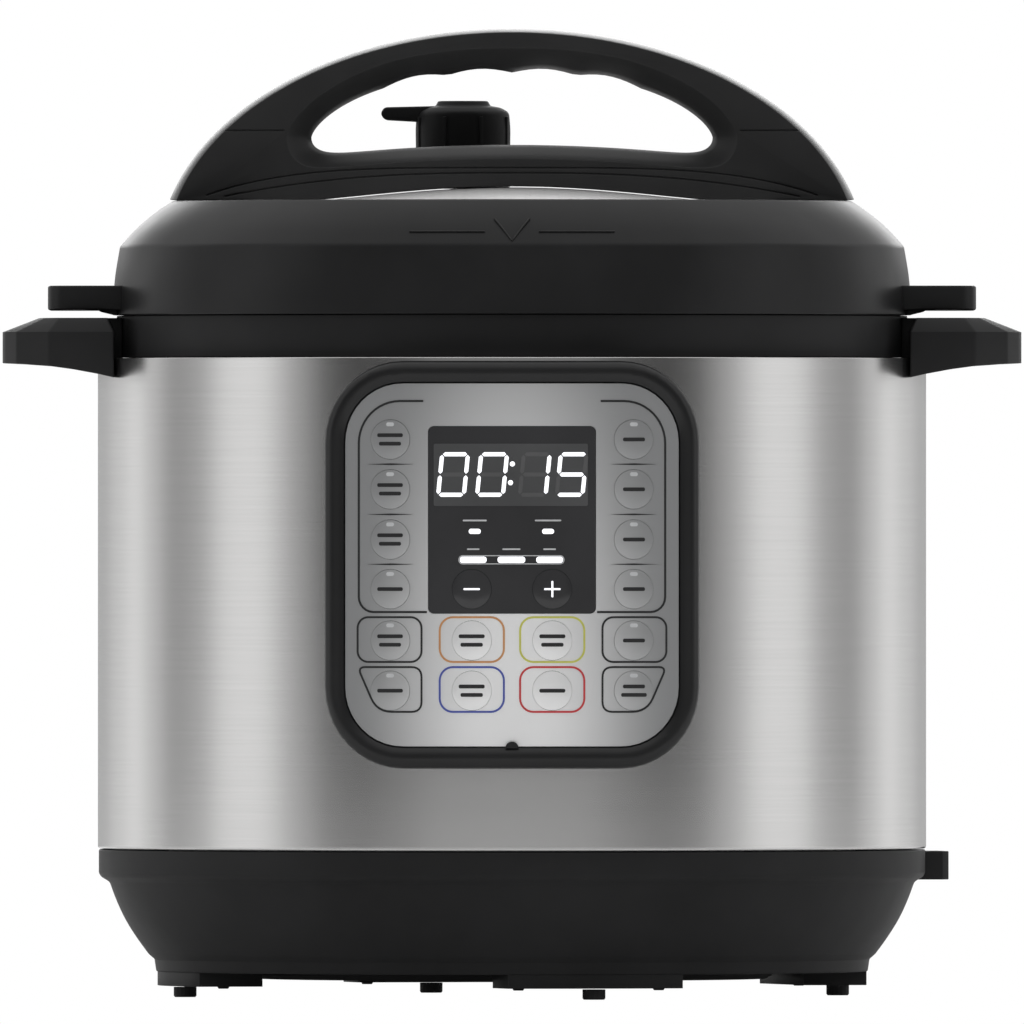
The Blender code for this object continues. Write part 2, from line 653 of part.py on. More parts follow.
def make_float():
    pin = [(0.0, 246.8), (2.8, 246.8), (2.8, 265.6), (2.2, 266.2), (0.0, 266.2)]
    turned("float_valve_pin", pin, STEEL, 12, FLOAT_XY)
    cap = [(0.0, 242.2), (4.4, 242.2), (5.4, 243.4), (5.4, 246.4), (0.0, 246.4)]
    turned("float_valve_cap", cap, RED_SILICONE, 12, FLOAT_XY)


def main():
    clear_scene()
    make_shell()
    make_collar()
    make_liner()
    make_heater()
    make_inner_pot()
    make_base()
    make_bottom_cover()
    make_feet()
    make_side_handles()
    make_inlet()
    make_collector()
    make_power_board()
    make_bezel()
    make_panel_plate()
    make_window()
    make_electronics()
    make_keys()
    make_lid_cover()
    make_lid_plate()
    make_lid_handle()
    make_lid_pan()
    make_seal()
    make_valve()
    make_float()


main()
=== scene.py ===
"""Looks of the electric pressure cooker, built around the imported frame.

Lengths are in millimetres in this file and become metres where a mesh is made. +Z is up and
-Y is the front.
"""

import math

import bmesh
import bpy
from mathutils import Matrix, Vector


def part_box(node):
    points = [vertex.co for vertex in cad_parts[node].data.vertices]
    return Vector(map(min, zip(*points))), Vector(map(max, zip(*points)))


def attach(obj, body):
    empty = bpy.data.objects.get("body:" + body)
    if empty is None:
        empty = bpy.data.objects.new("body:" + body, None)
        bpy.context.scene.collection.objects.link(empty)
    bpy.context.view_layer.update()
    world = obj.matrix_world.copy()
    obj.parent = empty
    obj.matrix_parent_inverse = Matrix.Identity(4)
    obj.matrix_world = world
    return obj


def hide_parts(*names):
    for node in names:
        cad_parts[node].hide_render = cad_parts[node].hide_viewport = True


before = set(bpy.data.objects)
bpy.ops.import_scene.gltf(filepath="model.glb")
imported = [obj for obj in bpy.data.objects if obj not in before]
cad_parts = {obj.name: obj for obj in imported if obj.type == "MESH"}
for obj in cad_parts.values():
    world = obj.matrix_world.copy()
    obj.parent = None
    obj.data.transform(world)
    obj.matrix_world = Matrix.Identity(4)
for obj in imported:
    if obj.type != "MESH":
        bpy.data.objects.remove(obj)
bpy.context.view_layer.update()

MM = 0.001
ROUND = 144


def top_of(node):
    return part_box(node)[1] / MM


def low_of(node):
    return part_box(node)[0] / MM


SHELL_R = top_of("housing_shell").x
SHELL_LOW = low_of("housing_shell").z
SHELL_TOP = top_of("housing_shell").z
COLLAR_R = top_of("upper_collar").x
COLLAR_LOW = low_of("upper_collar").z
LID_LOW = low_of("lid_cover").z
LID_RIM_Z = top_of("lid_cover").z
PLATE_R = top_of("lid_top_plate").x
PLATE_TOP_Z = top_of("lid_top_plate").z
PLATE_EDGE_Z = low_of("lid_top_plate").z + 1.0
ARCH_TOP = top_of("lid_handle").z
ARCH_HALF_DEPTH = top_of("lid_handle").y
FRONT_Y = -low_of("panel_bezel").y
PANEL_Z = (low_of("panel_bezel").z + top_of("panel_bezel").z) / 2
VALVE_X = (low_of("steam_pipe").x + top_of("steam_pipe").x) / 2
VALVE_Y = (low_of("steam_pipe").y + top_of("steam_pipe").y) / 2
FLOAT_X, FLOAT_Y = 20.0, 40.0
SHEET = 1.2
REACH_X = top_of("right_handle").x
PANEL_R = 240.0
FILM_DEPTH = 1.6
INK_HEIGHT = 0.12
INLET_ANGLE = 8.0


# ---- outlines ----


def arc(centre, radius, start, end, steps):
    """Points on an arc, angles in degrees, both ends included."""
    angles = [math.radians(start + (end - start) * i / steps) for i in range(steps + 1)]
    return [(centre[0] + radius * math.cos(a), centre[1] + radius * math.sin(a)) for a in angles]


def softened(corners, steps=5):
    """Rounds each (x, y, cut) corner of a closed outline, starting cut away from it."""
    points = []
    count = len(corners)
    for i, (x, y, reach) in enumerate(corners):
        here = Vector((x, y))
        if reach == 0:
            points.append((x, y))
            continue
        sides = []
        for other in (corners[i - 1], corners[(i + 1) % count]):
            line = Vector(other[:2]) - here
            sides.append(here + line.normalized() * min(reach, 0.48 * line.length))
        for step in range(steps + 1):
            t = step / steps
            place = (1 - t) ** 2 * sides[0] + 2 * t * (1 - t) * here + t**2 * sides[1]
            points.append((place.x, place.y))
    return points


def rounded(width, height, radius, centre=(0.0, 0.0), steps=8):
    """A rectangle with round corners, as points in order."""
    half_w = width / 2 - radius
    half_h = height / 2 - radius
    corners = ((half_w, half_h, 0), (-half_w, half_h, 90), (-half_w, -half_h, 180), (half_w, -half_h, 270))
    points = []
    for x, y, start in corners:
        points += arc((centre[0] + x, centre[1] + y), radius, start, start + 90, steps)
    return points


def between(a, b, share):
    return tuple(p + (q - p) * share for p, q in zip(a, b))


def fine(points, longest=3.0, closed=False):
    """The same line with points no further apart than longest."""
    made = []
    ends = list(zip(points, points[1:] + points[:1])) if closed else list(zip(points, points[1:]))
    for a, b in ends:
        parts = max(1, math.ceil(math.dist(a, b) / longest))
        made += [between(a, b, k / parts) for k in range(parts)]
    return made if closed else made + [points[-1]]


# ---- meshes ----


def put(name, bm, finish, at=(0.0, 0.0, 0.0), angle=30):
    """Turns a bmesh in millimetres into an object in metres."""
    bmesh.ops.recalc_face_normals(bm, faces=bm.faces)
    bmesh.ops.scale(bm, vec=(MM, MM, MM), verts=bm.verts)
    mesh = bpy.data.meshes.new(name)
    bm.to_mesh(mesh)
    bm.free()
    obj = bpy.data.objects.new(name, mesh)
    obj.location = [MM * value for value in at]
    bpy.context.scene.collection.objects.link(obj)
    if finish is not None:
        mesh.materials.append(finish)
    smooth(obj, angle)
    return obj


def smooth(obj, angle=30):
    """Shades the faces smoothly, and keeps edges sharper than angle."""
    obj.data.shade_smooth()
    obj.data.set_sharp_from_angle(angle=math.radians(angle))


def baked(obj):
    """Applies the object's modifiers."""
    bpy.context.view_layer.update()
    graph = bpy.context.evaluated_depsgraph_get()
    mesh = bpy.data.meshes.new_from_object(obj.evaluated_get(graph))
    obj.modifiers.clear()
    obj.data = mesh


def combine(obj, other, operation):
    modifier = obj.modifiers.new("combine", "BOOLEAN")
    modifier.operation = operation
    modifier.solver = "EXACT"
    modifier.object = other
    baked(obj)
    bpy.data.objects.remove(other, do_unlink=True)


def cut(obj, cutter):
    combine(obj, cutter, "DIFFERENCE")


def join(obj, other):
    combine(obj, other, "UNION")


def drill(obj, radius, x, y, sides=32):
    """A round hole right through the lid."""
    cut(obj, put("hole", lathe([(0, 200), (radius, 200), (radius, 300), (0, 300)], sides), None, (x, y, 0)))


def eased(obj, width, segments=3, angle=32):
    """Rounds the sharp edges."""
    modifier = obj.modifiers.new("ease", "BEVEL")
    modifier.width = MM * width
    modifier.segments = segments
    modifier.limit_method = "ANGLE"
    modifier.angle_limit = math.radians(angle)
    modifier.harden_normals = False
    baked(obj)
    smooth(obj, 40)
    return obj


def lathe(profile, sides=ROUND):
    """A surface turned from (radius, z) points: a ring, or a solid where it meets the axis."""
    bm = bmesh.new()
    rings = []
    for radius, z in profile:
        if radius == 0.0:
            rings.append([bm.verts.new((0.0, 0.0, z))])
            continue
        turn = [2 * math.pi * i / sides for i in range(sides)]
        rings.append([bm.verts.new((radius * math.cos(a), radius * math.sin(a), z)) for a in turn])
    pairs = list(zip(rings, rings[1:]))
    if profile[0][0] != 0.0:
        pairs.append((rings[-1], rings[0]))
    for lower, upper in pairs:
        for i in range(sides):
            j = (i + 1) % sides
            corners = [lower[i % len(lower)], lower[j % len(lower)]]
            corners += [upper[j % len(upper)], upper[i % len(upper)]]
            bm.faces.new(list(dict.fromkeys(corners)))
    return bm


def loft(rings, closed=False):
    """A solid through rings of as many (x, y, z) points each, with two ends or closed on itself."""
    bm = bmesh.new()
    made = [[bm.verts.new(place) for place in ring] for ring in rings]
    for lower, upper in zip(made, made[1:] + made[:1] if closed else made[1:]):
        for i in range(len(lower)):
            j = (i + 1) % len(lower)
            bm.faces.new((lower[i], lower[j], upper[j], upper[i]))
    if not closed:
        bm.faces.new(made[0])
        bm.faces.new(made[-1])
    return bm


def prism(outline, low, high, axis="Z"):
    """Extrudes an outline of (x, y) points along Z, or of (x, z) points along Y."""
    levels = (low, high)
    if axis == "Z":
        return loft([[(a, b, level) for a, b in outline] for level in levels])
    return loft([[(a, level, b) for a, b in outline] for level in levels])


def block(x, y, z):
    return prism([(x[0], y[0]), (x[1], y[0]), (x[1], y[1]), (x[0], y[1])], z[0], z[1])


def stroke(points, width, low, high, closed=False):
    """A flat ribbon along a line of (x, z) points, from depth low to depth high."""
    count = len(points)
    left, right = [], []
    for i, here in enumerate(points):
        before = Vector(points[i - 1] if closed or i else here)
        after = Vector(points[(i + 1) % count] if closed or i < count - 1 else here)
        along = (after - before).normalized()
        side = Vector((-along.y, along.x)) * width / 2
        left.append((here[0] + side.x, here[1] + side.y))
        right.append((here[0] - side.x, here[1] - side.y))
    bm = bmesh.new()
    sheets = []
    for depth in (low, high):
        sheets.append([[bm.verts.new((x, depth, z)) for x, z in line] for line in (left, right)])
    last = count if closed else count - 1
    for i in range(last):
        j = (i + 1) % count
        for left_row, right_row in sheets:
            bm.faces.new((left_row[i], left_row[j], right_row[j], right_row[i]))
        for side in (0, 1):
            bm.faces.new((sheets[0][side][i], sheets[0][side][j], sheets[1][side][j], sheets[1][side][i]))
    if not closed:
        for i in (0, count - 1):
            bm.faces.new((sheets[0][0][i], sheets[0][1][i], sheets[1][1][i], sheets[1][0][i]))
    return bm


def turned_by(obj, degrees):
    obj.data.transform(Matrix.Rotation(math.radians(degrees), 4, "Z"))
    obj.data.update()
    return obj


def placed(obj, body, slot, *nodes):
    """Makes a finished piece ride on its body and stand for its CAD nodes."""
    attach(obj, body)
    if nodes:
        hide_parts(*nodes)
    return obj


# ---- materials ----


def blank(name, colour, roughness, metallic=0.0):
    made = bpy.data.materials.new(name)
    made.use_nodes = True
    shader = made.node_tree.nodes["Principled BSDF"]
    shader.inputs["Base Color"].default_value = (*colour, 1.0)
    shader.inputs["Roughness"].default_value = roughness
    shader.inputs["Metallic"].default_value = metallic
    return made, shader


def add_node(tree, kind, values=None, **settings):
    """A shader node with its settings, and with values on its inputs."""
    node = tree.nodes.new("ShaderNode" + kind)
    for name, value in settings.items():
        setattr(node, name, value)
    for name, value in (values or {}).items():
        node.inputs[name].default_value = value
    return node


def noise(made, scale, detail, stretch=(1.0, 1.0, 1.0)):
    """Noise over the object's own coordinates, in metres."""
    tree = made.node_tree
    mapping = add_node(tree, "Mapping", {"Scale": stretch})
    texture = add_node(tree, "TexNoise", {"Scale": scale, "Detail": detail})
    tree.links.new(add_node(tree, "TexCoord").outputs["Object"], mapping.inputs["Vector"])
    tree.links.new(mapping.outputs["Vector"], texture.inputs["Vector"])
    return texture.outputs["Fac"]


def vary_roughness(made, shader, source, low, high):
    scaled = add_node(made.node_tree, "MapRange", {"To Min": low, "To Max": high})
    made.node_tree.links.new(source, scaled.inputs["Value"])
    made.node_tree.links.new(scaled.outputs["Result"], shader.inputs["Roughness"])


def vary_colour(made, shader, source, dark, light):
    ramp = add_node(made.node_tree, "ValToRGB")
    ramp.color_ramp.elements[0].position = 0.3
    ramp.color_ramp.elements[1].position = 0.7
    ramp.color_ramp.elements[0].color = (*dark, 1.0)
    ramp.color_ramp.elements[1].color = (*light, 1.0)
    made.node_tree.links.new(source, ramp.inputs["Fac"])
    made.node_tree.links.new(ramp.outputs["Color"], shader.inputs["Base Color"])


def bump(made, shader, source, strength, depth_mm):
    node = add_node(made.node_tree, "Bump", {"Strength": strength, "Distance": MM * depth_mm})
    made.node_tree.links.new(source, node.inputs["Height"])
    made.node_tree.links.new(node.outputs["Normal"], shader.inputs["Normal"])


def shade(colour, factor):
    """The colour, lighter or darker, up to white."""
    return tuple(min(1.0, value * factor) for value in colour)


def plastic(name, colour, roughness, grain_mm=0.35, strength=0.12, gloss=0.5):
    """Moulded plastic with a fine spark-eroded grain and slightly uneven gloss."""
    made, shader = blank(name, colour, roughness)
    shader.inputs["Specular IOR Level"].default_value = gloss
    vary_colour(made, shader, noise(made, 28.0, 3.0), shade(colour, 0.86), shade(colour, 1.14))
    vary_roughness(made, shader, noise(made, 60.0, 4.0), roughness - 0.05, roughness + 0.05)
    bump(made, shader, noise(made, 1.0 / (MM * grain_mm), 2.0), strength, 0.02)
    return made


def steel(
    name, colour, roughness, stretch, anisotropy=0.0, turn=0.0, depth_mm=0.006, spread_by=0.06, metallic=1.0
):
    """Brushed metal. The stretch is long along the brushing and short across it."""
    made, shader = blank(name, colour, roughness, metallic)
    lines = noise(made, 1.0, 5.0, stretch)
    vary_colour(made, shader, lines, shade(colour, 1.0 - spread_by), shade(colour, 1.0 + spread_by))
    vary_roughness(made, shader, noise(made, 1.6, 4.0, stretch), roughness - spread_by, roughness + spread_by)
    bump(made, shader, lines, 0.25, depth_mm)
    if anisotropy:
        shader.inputs["Anisotropic"].default_value = anisotropy
        shader.inputs["Anisotropic Rotation"].default_value = turn
        tangent = add_node(made.node_tree, "Tangent", direction_type="RADIAL", axis="Z")
        made.node_tree.links.new(tangent.outputs["Tangent"], shader.inputs["Tangent"])
    return made


def ink(name, colour, roughness=0.45):
    made, shader = blank(name, colour, roughness)
    vary_colour(made, shader, noise(made, 300.0, 2.0), shade(colour, 0.94), shade(colour, 1.06))
    return made


def glow(name, colour, strength):
    made, shader = blank(name, colour, 0.4)
    shader.inputs["Emission Color"].default_value = (*colour, 1.0)
    shader.inputs["Emission Strength"].default_value = strength
    vary_roughness(made, shader, noise(made, 400.0, 2.0), 0.3, 0.5)
    return made


def rubbery(name, colour, roughness, through=0.0):
    made, shader = blank(name, colour, roughness)
    shader.inputs["Subsurface Weight"].default_value = through
    shader.inputs["Subsurface Scale"].default_value = 2.0 * MM
    vary_colour(made, shader, noise(made, 40.0, 3.0), shade(colour, 0.94), shade(colour, 1.05))
    bump(made, shader, noise(made, 1500.0, 2.0), 0.15, 0.03)
    return made


def clear_plastic(name):
    made, shader = blank(name, (0.90, 0.92, 0.94), 0.08)
    shader.inputs["Transmission Weight"].default_value = 0.9
    shader.inputs["IOR"].default_value = 1.49
    vary_roughness(made, shader, noise(made, 50.0, 3.0), 0.05, 0.14)
    return made


BLACK = plastic("black_plastic", (0.024, 0.024, 0.0245), 0.50, gloss=0.10)
LID_BLACK = plastic("lid_black_plastic", (0.021, 0.021, 0.0215), 0.34, gloss=0.14)
# Painted light: the arch's black is a lighter copy of the lid's black, so that the arch, which gets less
# light, looks as bright as the lid's side.
ARCH_BLACK_PAINTED_LIGHTER = plastic("arch_black_painted_lighter", (0.039, 0.039, 0.0395), 0.34, gloss=0.20)
BEZEL_BLACK = plastic("bezel_black_plastic", (0.015, 0.015, 0.0155), 0.32, 0.6, 0.05, 0.33)
# Painted shade: the near-black colour stands for the shade inside an engraved line.
ENGRAVED_PAINTED_SHADE = plastic("engraved_painted_shade", (0.004, 0.004, 0.004), 0.6)
AROUND = {"turn": 0.25, "depth_mm": 0.0012}
SHELL_STEEL = steel(
    "shell_brushed_steel", (0.66, 0.655, 0.65), 0.24, (16.0, 16.0, 1500.0), 0.45, spread_by=0.022, **AROUND
)
POT_STEEL = steel(
    "pot_polished_steel", (0.58, 0.575, 0.57), 0.26, (12.0, 12.0, 1200.0), 0.4, spread_by=0.03, **AROUND
)
PLATE_STEEL = steel(
    "lid_plate_steel", (0.90, 0.895, 0.89), 0.42, (500.0, 9.0, 9.0), 0.0, 0.0, 0.002, 0.03, metallic=0.6
)
PAN_STEEL = steel("lid_pan_steel", (0.70, 0.695, 0.69), 0.26, (200.0, 200.0, 200.0))
WIRE_STEEL = steel("wire_steel", (0.60, 0.60, 0.61), 0.25, (300.0, 300.0, 300.0))
CAST_ALUMINIUM = steel("cast_aluminium", (0.62, 0.63, 0.64), 0.45, (260.0, 260.0, 260.0), depth_mm=0.03)
BRASS = steel("pin_brass", (0.72, 0.53, 0.25), 0.28, (400.0, 400.0, 400.0))
SILICONE = rubbery("white_silicone", (0.72, 0.74, 0.75), 0.5, 0.3)
RED_SILICONE = rubbery("red_silicone", (0.42, 0.035, 0.03), 0.5)
RUBBER = rubbery("foot_rubber", (0.018, 0.018, 0.019), 0.75)
CIRCUIT = plastic("circuit_board", (0.02, 0.12, 0.05), 0.45, 1.2, 0.3)
WINDOW = plastic("window_film", (0.034, 0.034, 0.036), 0.20, 0.8, 0.02)
DISPLAY = plastic("display_face", (0.075, 0.076, 0.078), 0.30, 0.8, 0.02)
UNLIT = plastic("unlit_segment", (0.105, 0.105, 0.107), 0.35, 0.8, 0.02)
CLEAR = clear_plastic("clear_plastic")
LIT = glow("lit_white", (0.95, 0.96, 1.0), 0.9)
PIP = ink("pip_white", (0.62, 0.63, 0.64))
PRINT_BLACK = ink("print_black", (0.016, 0.016, 0.017))
PRINT_ORANGE = ink("print_orange", (0.62, 0.30, 0.12))
PRINT_YELLOW = ink("print_yellow", (0.62, 0.62, 0.12))
PRINT_BLUE = ink("print_blue", (0.07, 0.10, 0.42))
PRINT_RED = ink("print_red", (0.60, 0.045, 0.05))


def silver_film(name, light, dark):
    """A printed silver overlay with a painted highlight: its colour is brightest along its lower middle,
    where it stands for a reflection of the studio's light.
    """
    made, shader = blank(name, light, 0.38, 0.25)
    tree = made.node_tree
    shrink = 0.3
    narrowed = add_node(tree, "Mapping", {"Scale": (1.0, 0.0, shrink)})
    away = add_node(tree, "VectorMath", operation="DISTANCE")
    away.inputs[1].default_value = (0.0, 0.0, MM * shrink * (PANEL_Z - 58.0))
    fade = add_node(tree, "MapRange", {"From Min": MM * 8.0, "From Max": MM * 54.0})
    # The gradient is a painted highlight: white along the lower middle, falling to plain silver further out.
    ramp = add_node(tree, "ValToRGB")
    ramp.color_ramp.interpolation = "EASE"
    ramp.color_ramp.elements[0].color = (*light, 1.0)
    ramp.color_ramp.elements[1].color = (*dark, 1.0)
    tree.links.new(add_node(tree, "TexCoord").outputs["Object"], narrowed.inputs["Vector"])
    tree.links.new(narrowed.outputs["Vector"], away.inputs[0])
    tree.links.new(away.outputs["Value"], fade.inputs["Value"])
    tree.links.new(fade.outputs["Result"], ramp.inputs["Fac"])
    tree.links.new(ramp.outputs["Color"], shader.inputs["Base Color"])
    bump(made, shader, noise(made, 1600.0, 2.0), 0.08, 0.01)
    return made


# The silver film and the keys' domes carry this painted highlight in their colour.
PAINTED_HIGHLIGHT_FILM = silver_film("silver_film", (1.0, 1.0, 1.0), (0.32, 0.324, 0.328))


# ---- body ----


def make_turned(name, corners, finish, body, slot, node, sides=ROUND):
    """A turned piece from (radius, z, cut) corners, which stands for a CAD node."""
    placed(put(name, lathe(softened(corners), sides), finish), body, slot, node)


def make_shell():
    inner = SHELL_R - SHEET
    corners = [(SHELL_R - 0.5, SHELL_LOW, 0.2), (SHELL_R, SHELL_LOW + 0.5, 0.3)]
    corners += [(SHELL_R, SHELL_LOW + 1.5, 0.0), (SHELL_R, SHELL_TOP, 0.4)]
    corners += [ (129.0, SHELL_TOP, 0.2), (129.0, SHELL_TOP - SHEET, 0.2)]
    corners += [(inner, SHELL_TOP - SHEET, 1.4), (inner, SHELL_LOW, 0.2)]
    make_turned("steel_shell", corners, SHELL_STEEL, "base", "brushed_steel", "housing_shell")


def make_collar():
    """The black ring on the shell. A thin lip inside it stands up behind the lid's lower edge."""
    top = LID_LOW - 0.25
    corners = [(COLLAR_R, COLLAR_LOW, 0.3), (COLLAR_R, top, 0.4), (129.8, top, 0.2)]
    corners += [(129.8, LID_LOW + 1.2, 0.2), (129.0, LID_LOW + 1.2, 0.2), (129.0, COLLAR_LOW + 3.0, 0.5)]
    corners += [(124.0, COLLAR_LOW + 3.0, 0.3), (124.0, COLLAR_LOW, 0.3)]
    make_turned("collar_ring", corners, BLACK, "base", "black_plastic", "upper_collar")


def make_liner():
    low, high = low_of("outer_pot").z, top_of("outer_pot").z
    flange, wall = top_of("outer_pot").x, 113.5
    corners = [(flange, high - SHEET, 0.3), (flange, high, 0.3), (wall, high, 1.2), (wall, low + SHEET, 3.0)]
    corners += [(62.0, low + SHEET, 0.2), (62.0, low, 0.2), (wall + SHEET, low, 3.0)]
    corners += [(wall + SHEET, high - SHEET, 0.8)]
    make_turned("liner_pot", corners, CAST_ALUMINIUM, "base", "aluminium", "outer_pot")


def make_heater():
    """The cast heating plate, and the sensor that stands in its middle."""
    low = low_of("heating_plate").z
    corners = [(96.0, low, 0.8), (96.0, 61.0, 2.5), (91.0, 64.6, 3.0), (60.0, 65.0, 2.0), (14.0, 65.2, 0.5)]
    corners += [(14.0, low, 0.4)]
    make_turned("heater_disc", corners, CAST_ALUMINIUM, "base", "aluminium", "heating_plate")
    low = low_of("temperature_sensor").z
    corners = [(0.0, low, 0.0), (3.8, low, 0.5), (3.8, 57.0, 0.3), (12.8, 57.0, 0.4), (12.8, 65.2, 1.0)]
    corners += [(0.0, 65.2, 0.0)]
    make_turned("sensor_button", corners, CAST_ALUMINIUM, "sensor", "aluminium", "temperature_sensor", 64)


def make_inner_pot():
    low, rim, wall = low_of("inner_pot").z, top_of("inner_pot").z, 110.1
    corners = [(0.0, low, 0.0), (wall + SHEET, low, 10.0), (wall + SHEET, rim - SHEET, 1.2)]
    corners += [(116.0, rim - SHEET, 0.5), (116.0, rim, 0.5), (wall, rim, 1.5)]
    corners += [(wall, low + SHEET, 9.0), (0.0, low + SHEET, 0.0)]
    make_turned("cooking_pot", corners, POT_STEEL, "pot", "brushed_steel", "inner_pot")


def make_base():
    low = low_of("base_housing").z + 4.6
    top = top_of("base_housing").z
    corners = [(118.8, low, 0.6), (119.4, 12.4, 0.3), (121.4, 14.2, 0.3), (124.9, 18.9, 3.0)]
    corners += [(129.1, 25.4, 4.0), (132.2, 32.1, 3.5), (134.4, 38.2, 0.8), (137.2, 39.9, 0.6)]
    corners += [(138.0, 41.2, 0.5), (138.0, top, 0.6), (133.0, top, 0.3), (131.0, 37.2, 2.0)]
    corners += [(126.0, 25.4, 3.0), (117.5, 11.3, 1.0), (84.0, 11.3, 0.3), (84.0, low, 0.3)]
    bowl = put("base_bowl", lathe(softened(corners)), BLACK)
    hole = put("inlet_gap", block((100.0, 150.0), (-15.6, 15.6), (15.4, 60.0)), None)
    cut(bowl, turned_by(hole, INLET_ANGLE))
    smooth(bowl, 30)
    placed(bowl, "base", "black_plastic", "base_housing")
    for index in range(4):
        angle = 14.0 + 90.0 * index
        outer = arc((0.0, 0.0), 118.4, -14.6, 14.6, 10)
        outline = outer + [(93.0, 29.8), (93.0, -29.8)]
        pad = put(f"foot_pad_{index + 1}", prism(outline, 3.7, low + 0.6), BLACK)
        for side in (-24.0, 24.0):
            boss = put("boss", lathe([(0.0, 3.0), (1.6, 3.0), (2.0, 3.6), (2.0, 5.0), (0.0, 5.0)], 20), None)
            boss.data.transform(Matrix.Translation((MM * 105.0, MM * side, 0.0)))
            join(pad, boss)
        eased(pad, 0.5, 2)
        placed(turned_by(pad, angle), "base", "black_plastic")


def make_side_handle(side):
    """A grip on a short neck. Its top is chamfered towards the front, the back and the end."""
    low_z, top_z = low_of("right_handle").z, top_of("right_handle").z
    low_plan = [(112.0, -24.0, 0.0), (132.6, -24.0, 0.0), (132.6, -44.0, 0.8), (154.3, -43.2, 0.8)]
    low_plan += [(165.2, -33.5, 0.8), (169.3, -24.0, 2.0), (REACH_X, -14.0, 3.0)]
    top_plan = [(112.0, -23.8, 0.0), (134.6, -23.8, 0.0), (134.9, -39.2, 0.8), (150.8, -38.2, 0.8)]
    top_plan += [(155.8, -30.0, 0.8), (157.5, -21.0, 2.0), (157.9, -12.0, 3.0)]
    rings = []
    for plan, z in ((low_plan, low_z - 6.0), (low_plan, 221.7), (top_plan, top_z)):
        whole = plan + [(x, -y, soft) for x, y, soft in reversed(plan)]
        rings.append([(x, y, z) for x, y in softened(whole, 4)])
    grip = put("right_grip" if side > 0 else "left_grip", loft(rings), BLACK)
    below = [(105.0, low_z), (132.6, low_z + 0.1), (138.9, low_z + 1.6), (147.0, low_z + 3.1)]
    below += [(154.3, low_z + 4.1), (163.0, low_z + 4.7), (175.0, low_z + 5.2)]
    below += [(175.0, low_z - 12.0), (105.0, low_z - 12.0)]
    cut(grip, put("below", prism(below, -60.0, 60.0, "Y"), None))
    for radius, low, high in ((COLLAR_R + 0.3, 200.0, 240.0), (SHELL_R + 0.3, 190.0, SHELL_TOP + 0.2)):
        cut(grip, put("body_room", lathe([(0, low), (radius, low), (radius, high), (0, high)]), None))
    cut(grip, put("finger_room", prism(rounded(14.0, 58.0, 5.0, (155.0, 0.0)), 190.0, 216.0), None))
    cut(grip, put("fin_slot", prism(rounded(9.0, 52.0, 3.0, (146.0, 0.0)), 190.0, 240.0), None))
    eased(grip, 0.45, 2, 24)
    if side < 0:
        grip.data.transform(Matrix.Scale(-1, 4, (1, 0, 0)))
        grip.data.flip_normals()
    placed(grip, "base", "black_plastic", "right_handle" if side > 0 else "left_handle")


def make_inlet():
    """The mains socket. Below its visor it follows the bowl of the base."""
    half, reach = 15.0, top_of("power_inlet").x + 1.2
    visor = [(116.0, -half), (143.2, -half), (145.6, -half + 2.4)]
    visor += [(x, -y) for x, y in reversed(visor)]
    body = put("inlet_housing", prism(visor, 38.9, 48.4), BLACK)
    socket = put("socket", block((111.0, reach), (-half, half), (15.8, 39.5)), None)
    outside = [(0.0, 10.0), (119.0, 10.0), (119.4, 12.4), (121.4, 14.2), (124.9, 18.9), (128.6, 25.4)]
    outside += [(131.6, 32.1), (134.0, 38.2), (136.0, 41.0), (136.0, 48.0), (0.0, 48.0)]
    combine(socket, put("bowl", lathe(outside), None), "INTERSECT")
    join(body, socket)
    cut(body, put("hollow", block((114.5, 160.0), (-12.0, 12.0), (19.5, 36.0)), None))
    eased(body, 0.5, 2)
    placed(turned_by(body, INLET_ANGLE), "base", "black_plastic", "power_inlet")


# ---- control panel ----


def panel_place(u, depth, z):
    """A flat (u, depth, z) point of the panel, wrapped round the panel's curve."""
    angle = u / PANEL_R
    radius = PANEL_R - depth
    return (radius * math.sin(angle), PANEL_R - FRONT_Y - radius * math.cos(angle), z)


def bent(obj, step=4.0):
    bm = bmesh.new()
    bm.from_mesh(obj.data)
    low = min(vert.co.x for vert in bm.verts) / MM
    high = max(vert.co.x for vert in bm.verts) / MM
    for k in range(math.ceil(low / step), math.floor(high / step) + 1):
        everything = bm.verts[:] + bm.edges[:] + bm.faces[:]
        place = (MM * step * k, 0, 0)
        bmesh.ops.bisect_plane(bm, geom=everything, plane_co=place, plane_no=(1, 0, 0), dist=1e-6)
    for vert in bm.verts:
        vert.co = [MM * value for value in panel_place(*(value / MM for value in vert.co))]
    bm.to_mesh(obj.data)
    bm.free()
    smooth(obj)
    return obj


def panel_frame_outline(inset):
    return rounded(127.0 - 2 * inset, 135.0 - 2 * inset, 27.0 - inset, (0.0, PANEL_Z), 10)


def make_bezel():
    """A frame with a rounded crest that falls away to its outer edge and into the film."""
    rows = ((0.0, 24.0), (0.0, 3.4), (0.35, 1.9), (1.2, 0.8), (2.6, 0.15), (3.6, 0.0))
    rows += ((4.8, 0.15), (6.0, 0.7), (6.9, 1.3), (7.2, 2.2), (7.2, 24.0))
    rings = [[(x, depth, z) for x, z in panel_frame_outline(inset)] for inset, depth in rows]
    bezel = bent(put("bezel_frame", loft(rings, True), BEZEL_BLACK))
    room = [(0, 0), (SHELL_R + 0.3, 0), (SHELL_R + 0.3, 260), (0, 260)]
    cut(bezel, put("shell_room", lathe(room), None))
    smooth(bezel, 35)
    placed(bezel, "base", "gloss_black", "panel_bezel")
    notch = arc((0.0, PANEL_Z - 60.6), 2.2, 0, 180, 12)
    nub = bent(put("bezel_nub", prism(notch, 0.4, 3.0, "Y"), BEZEL_BLACK))
    placed(nub, "base", "gloss_black")


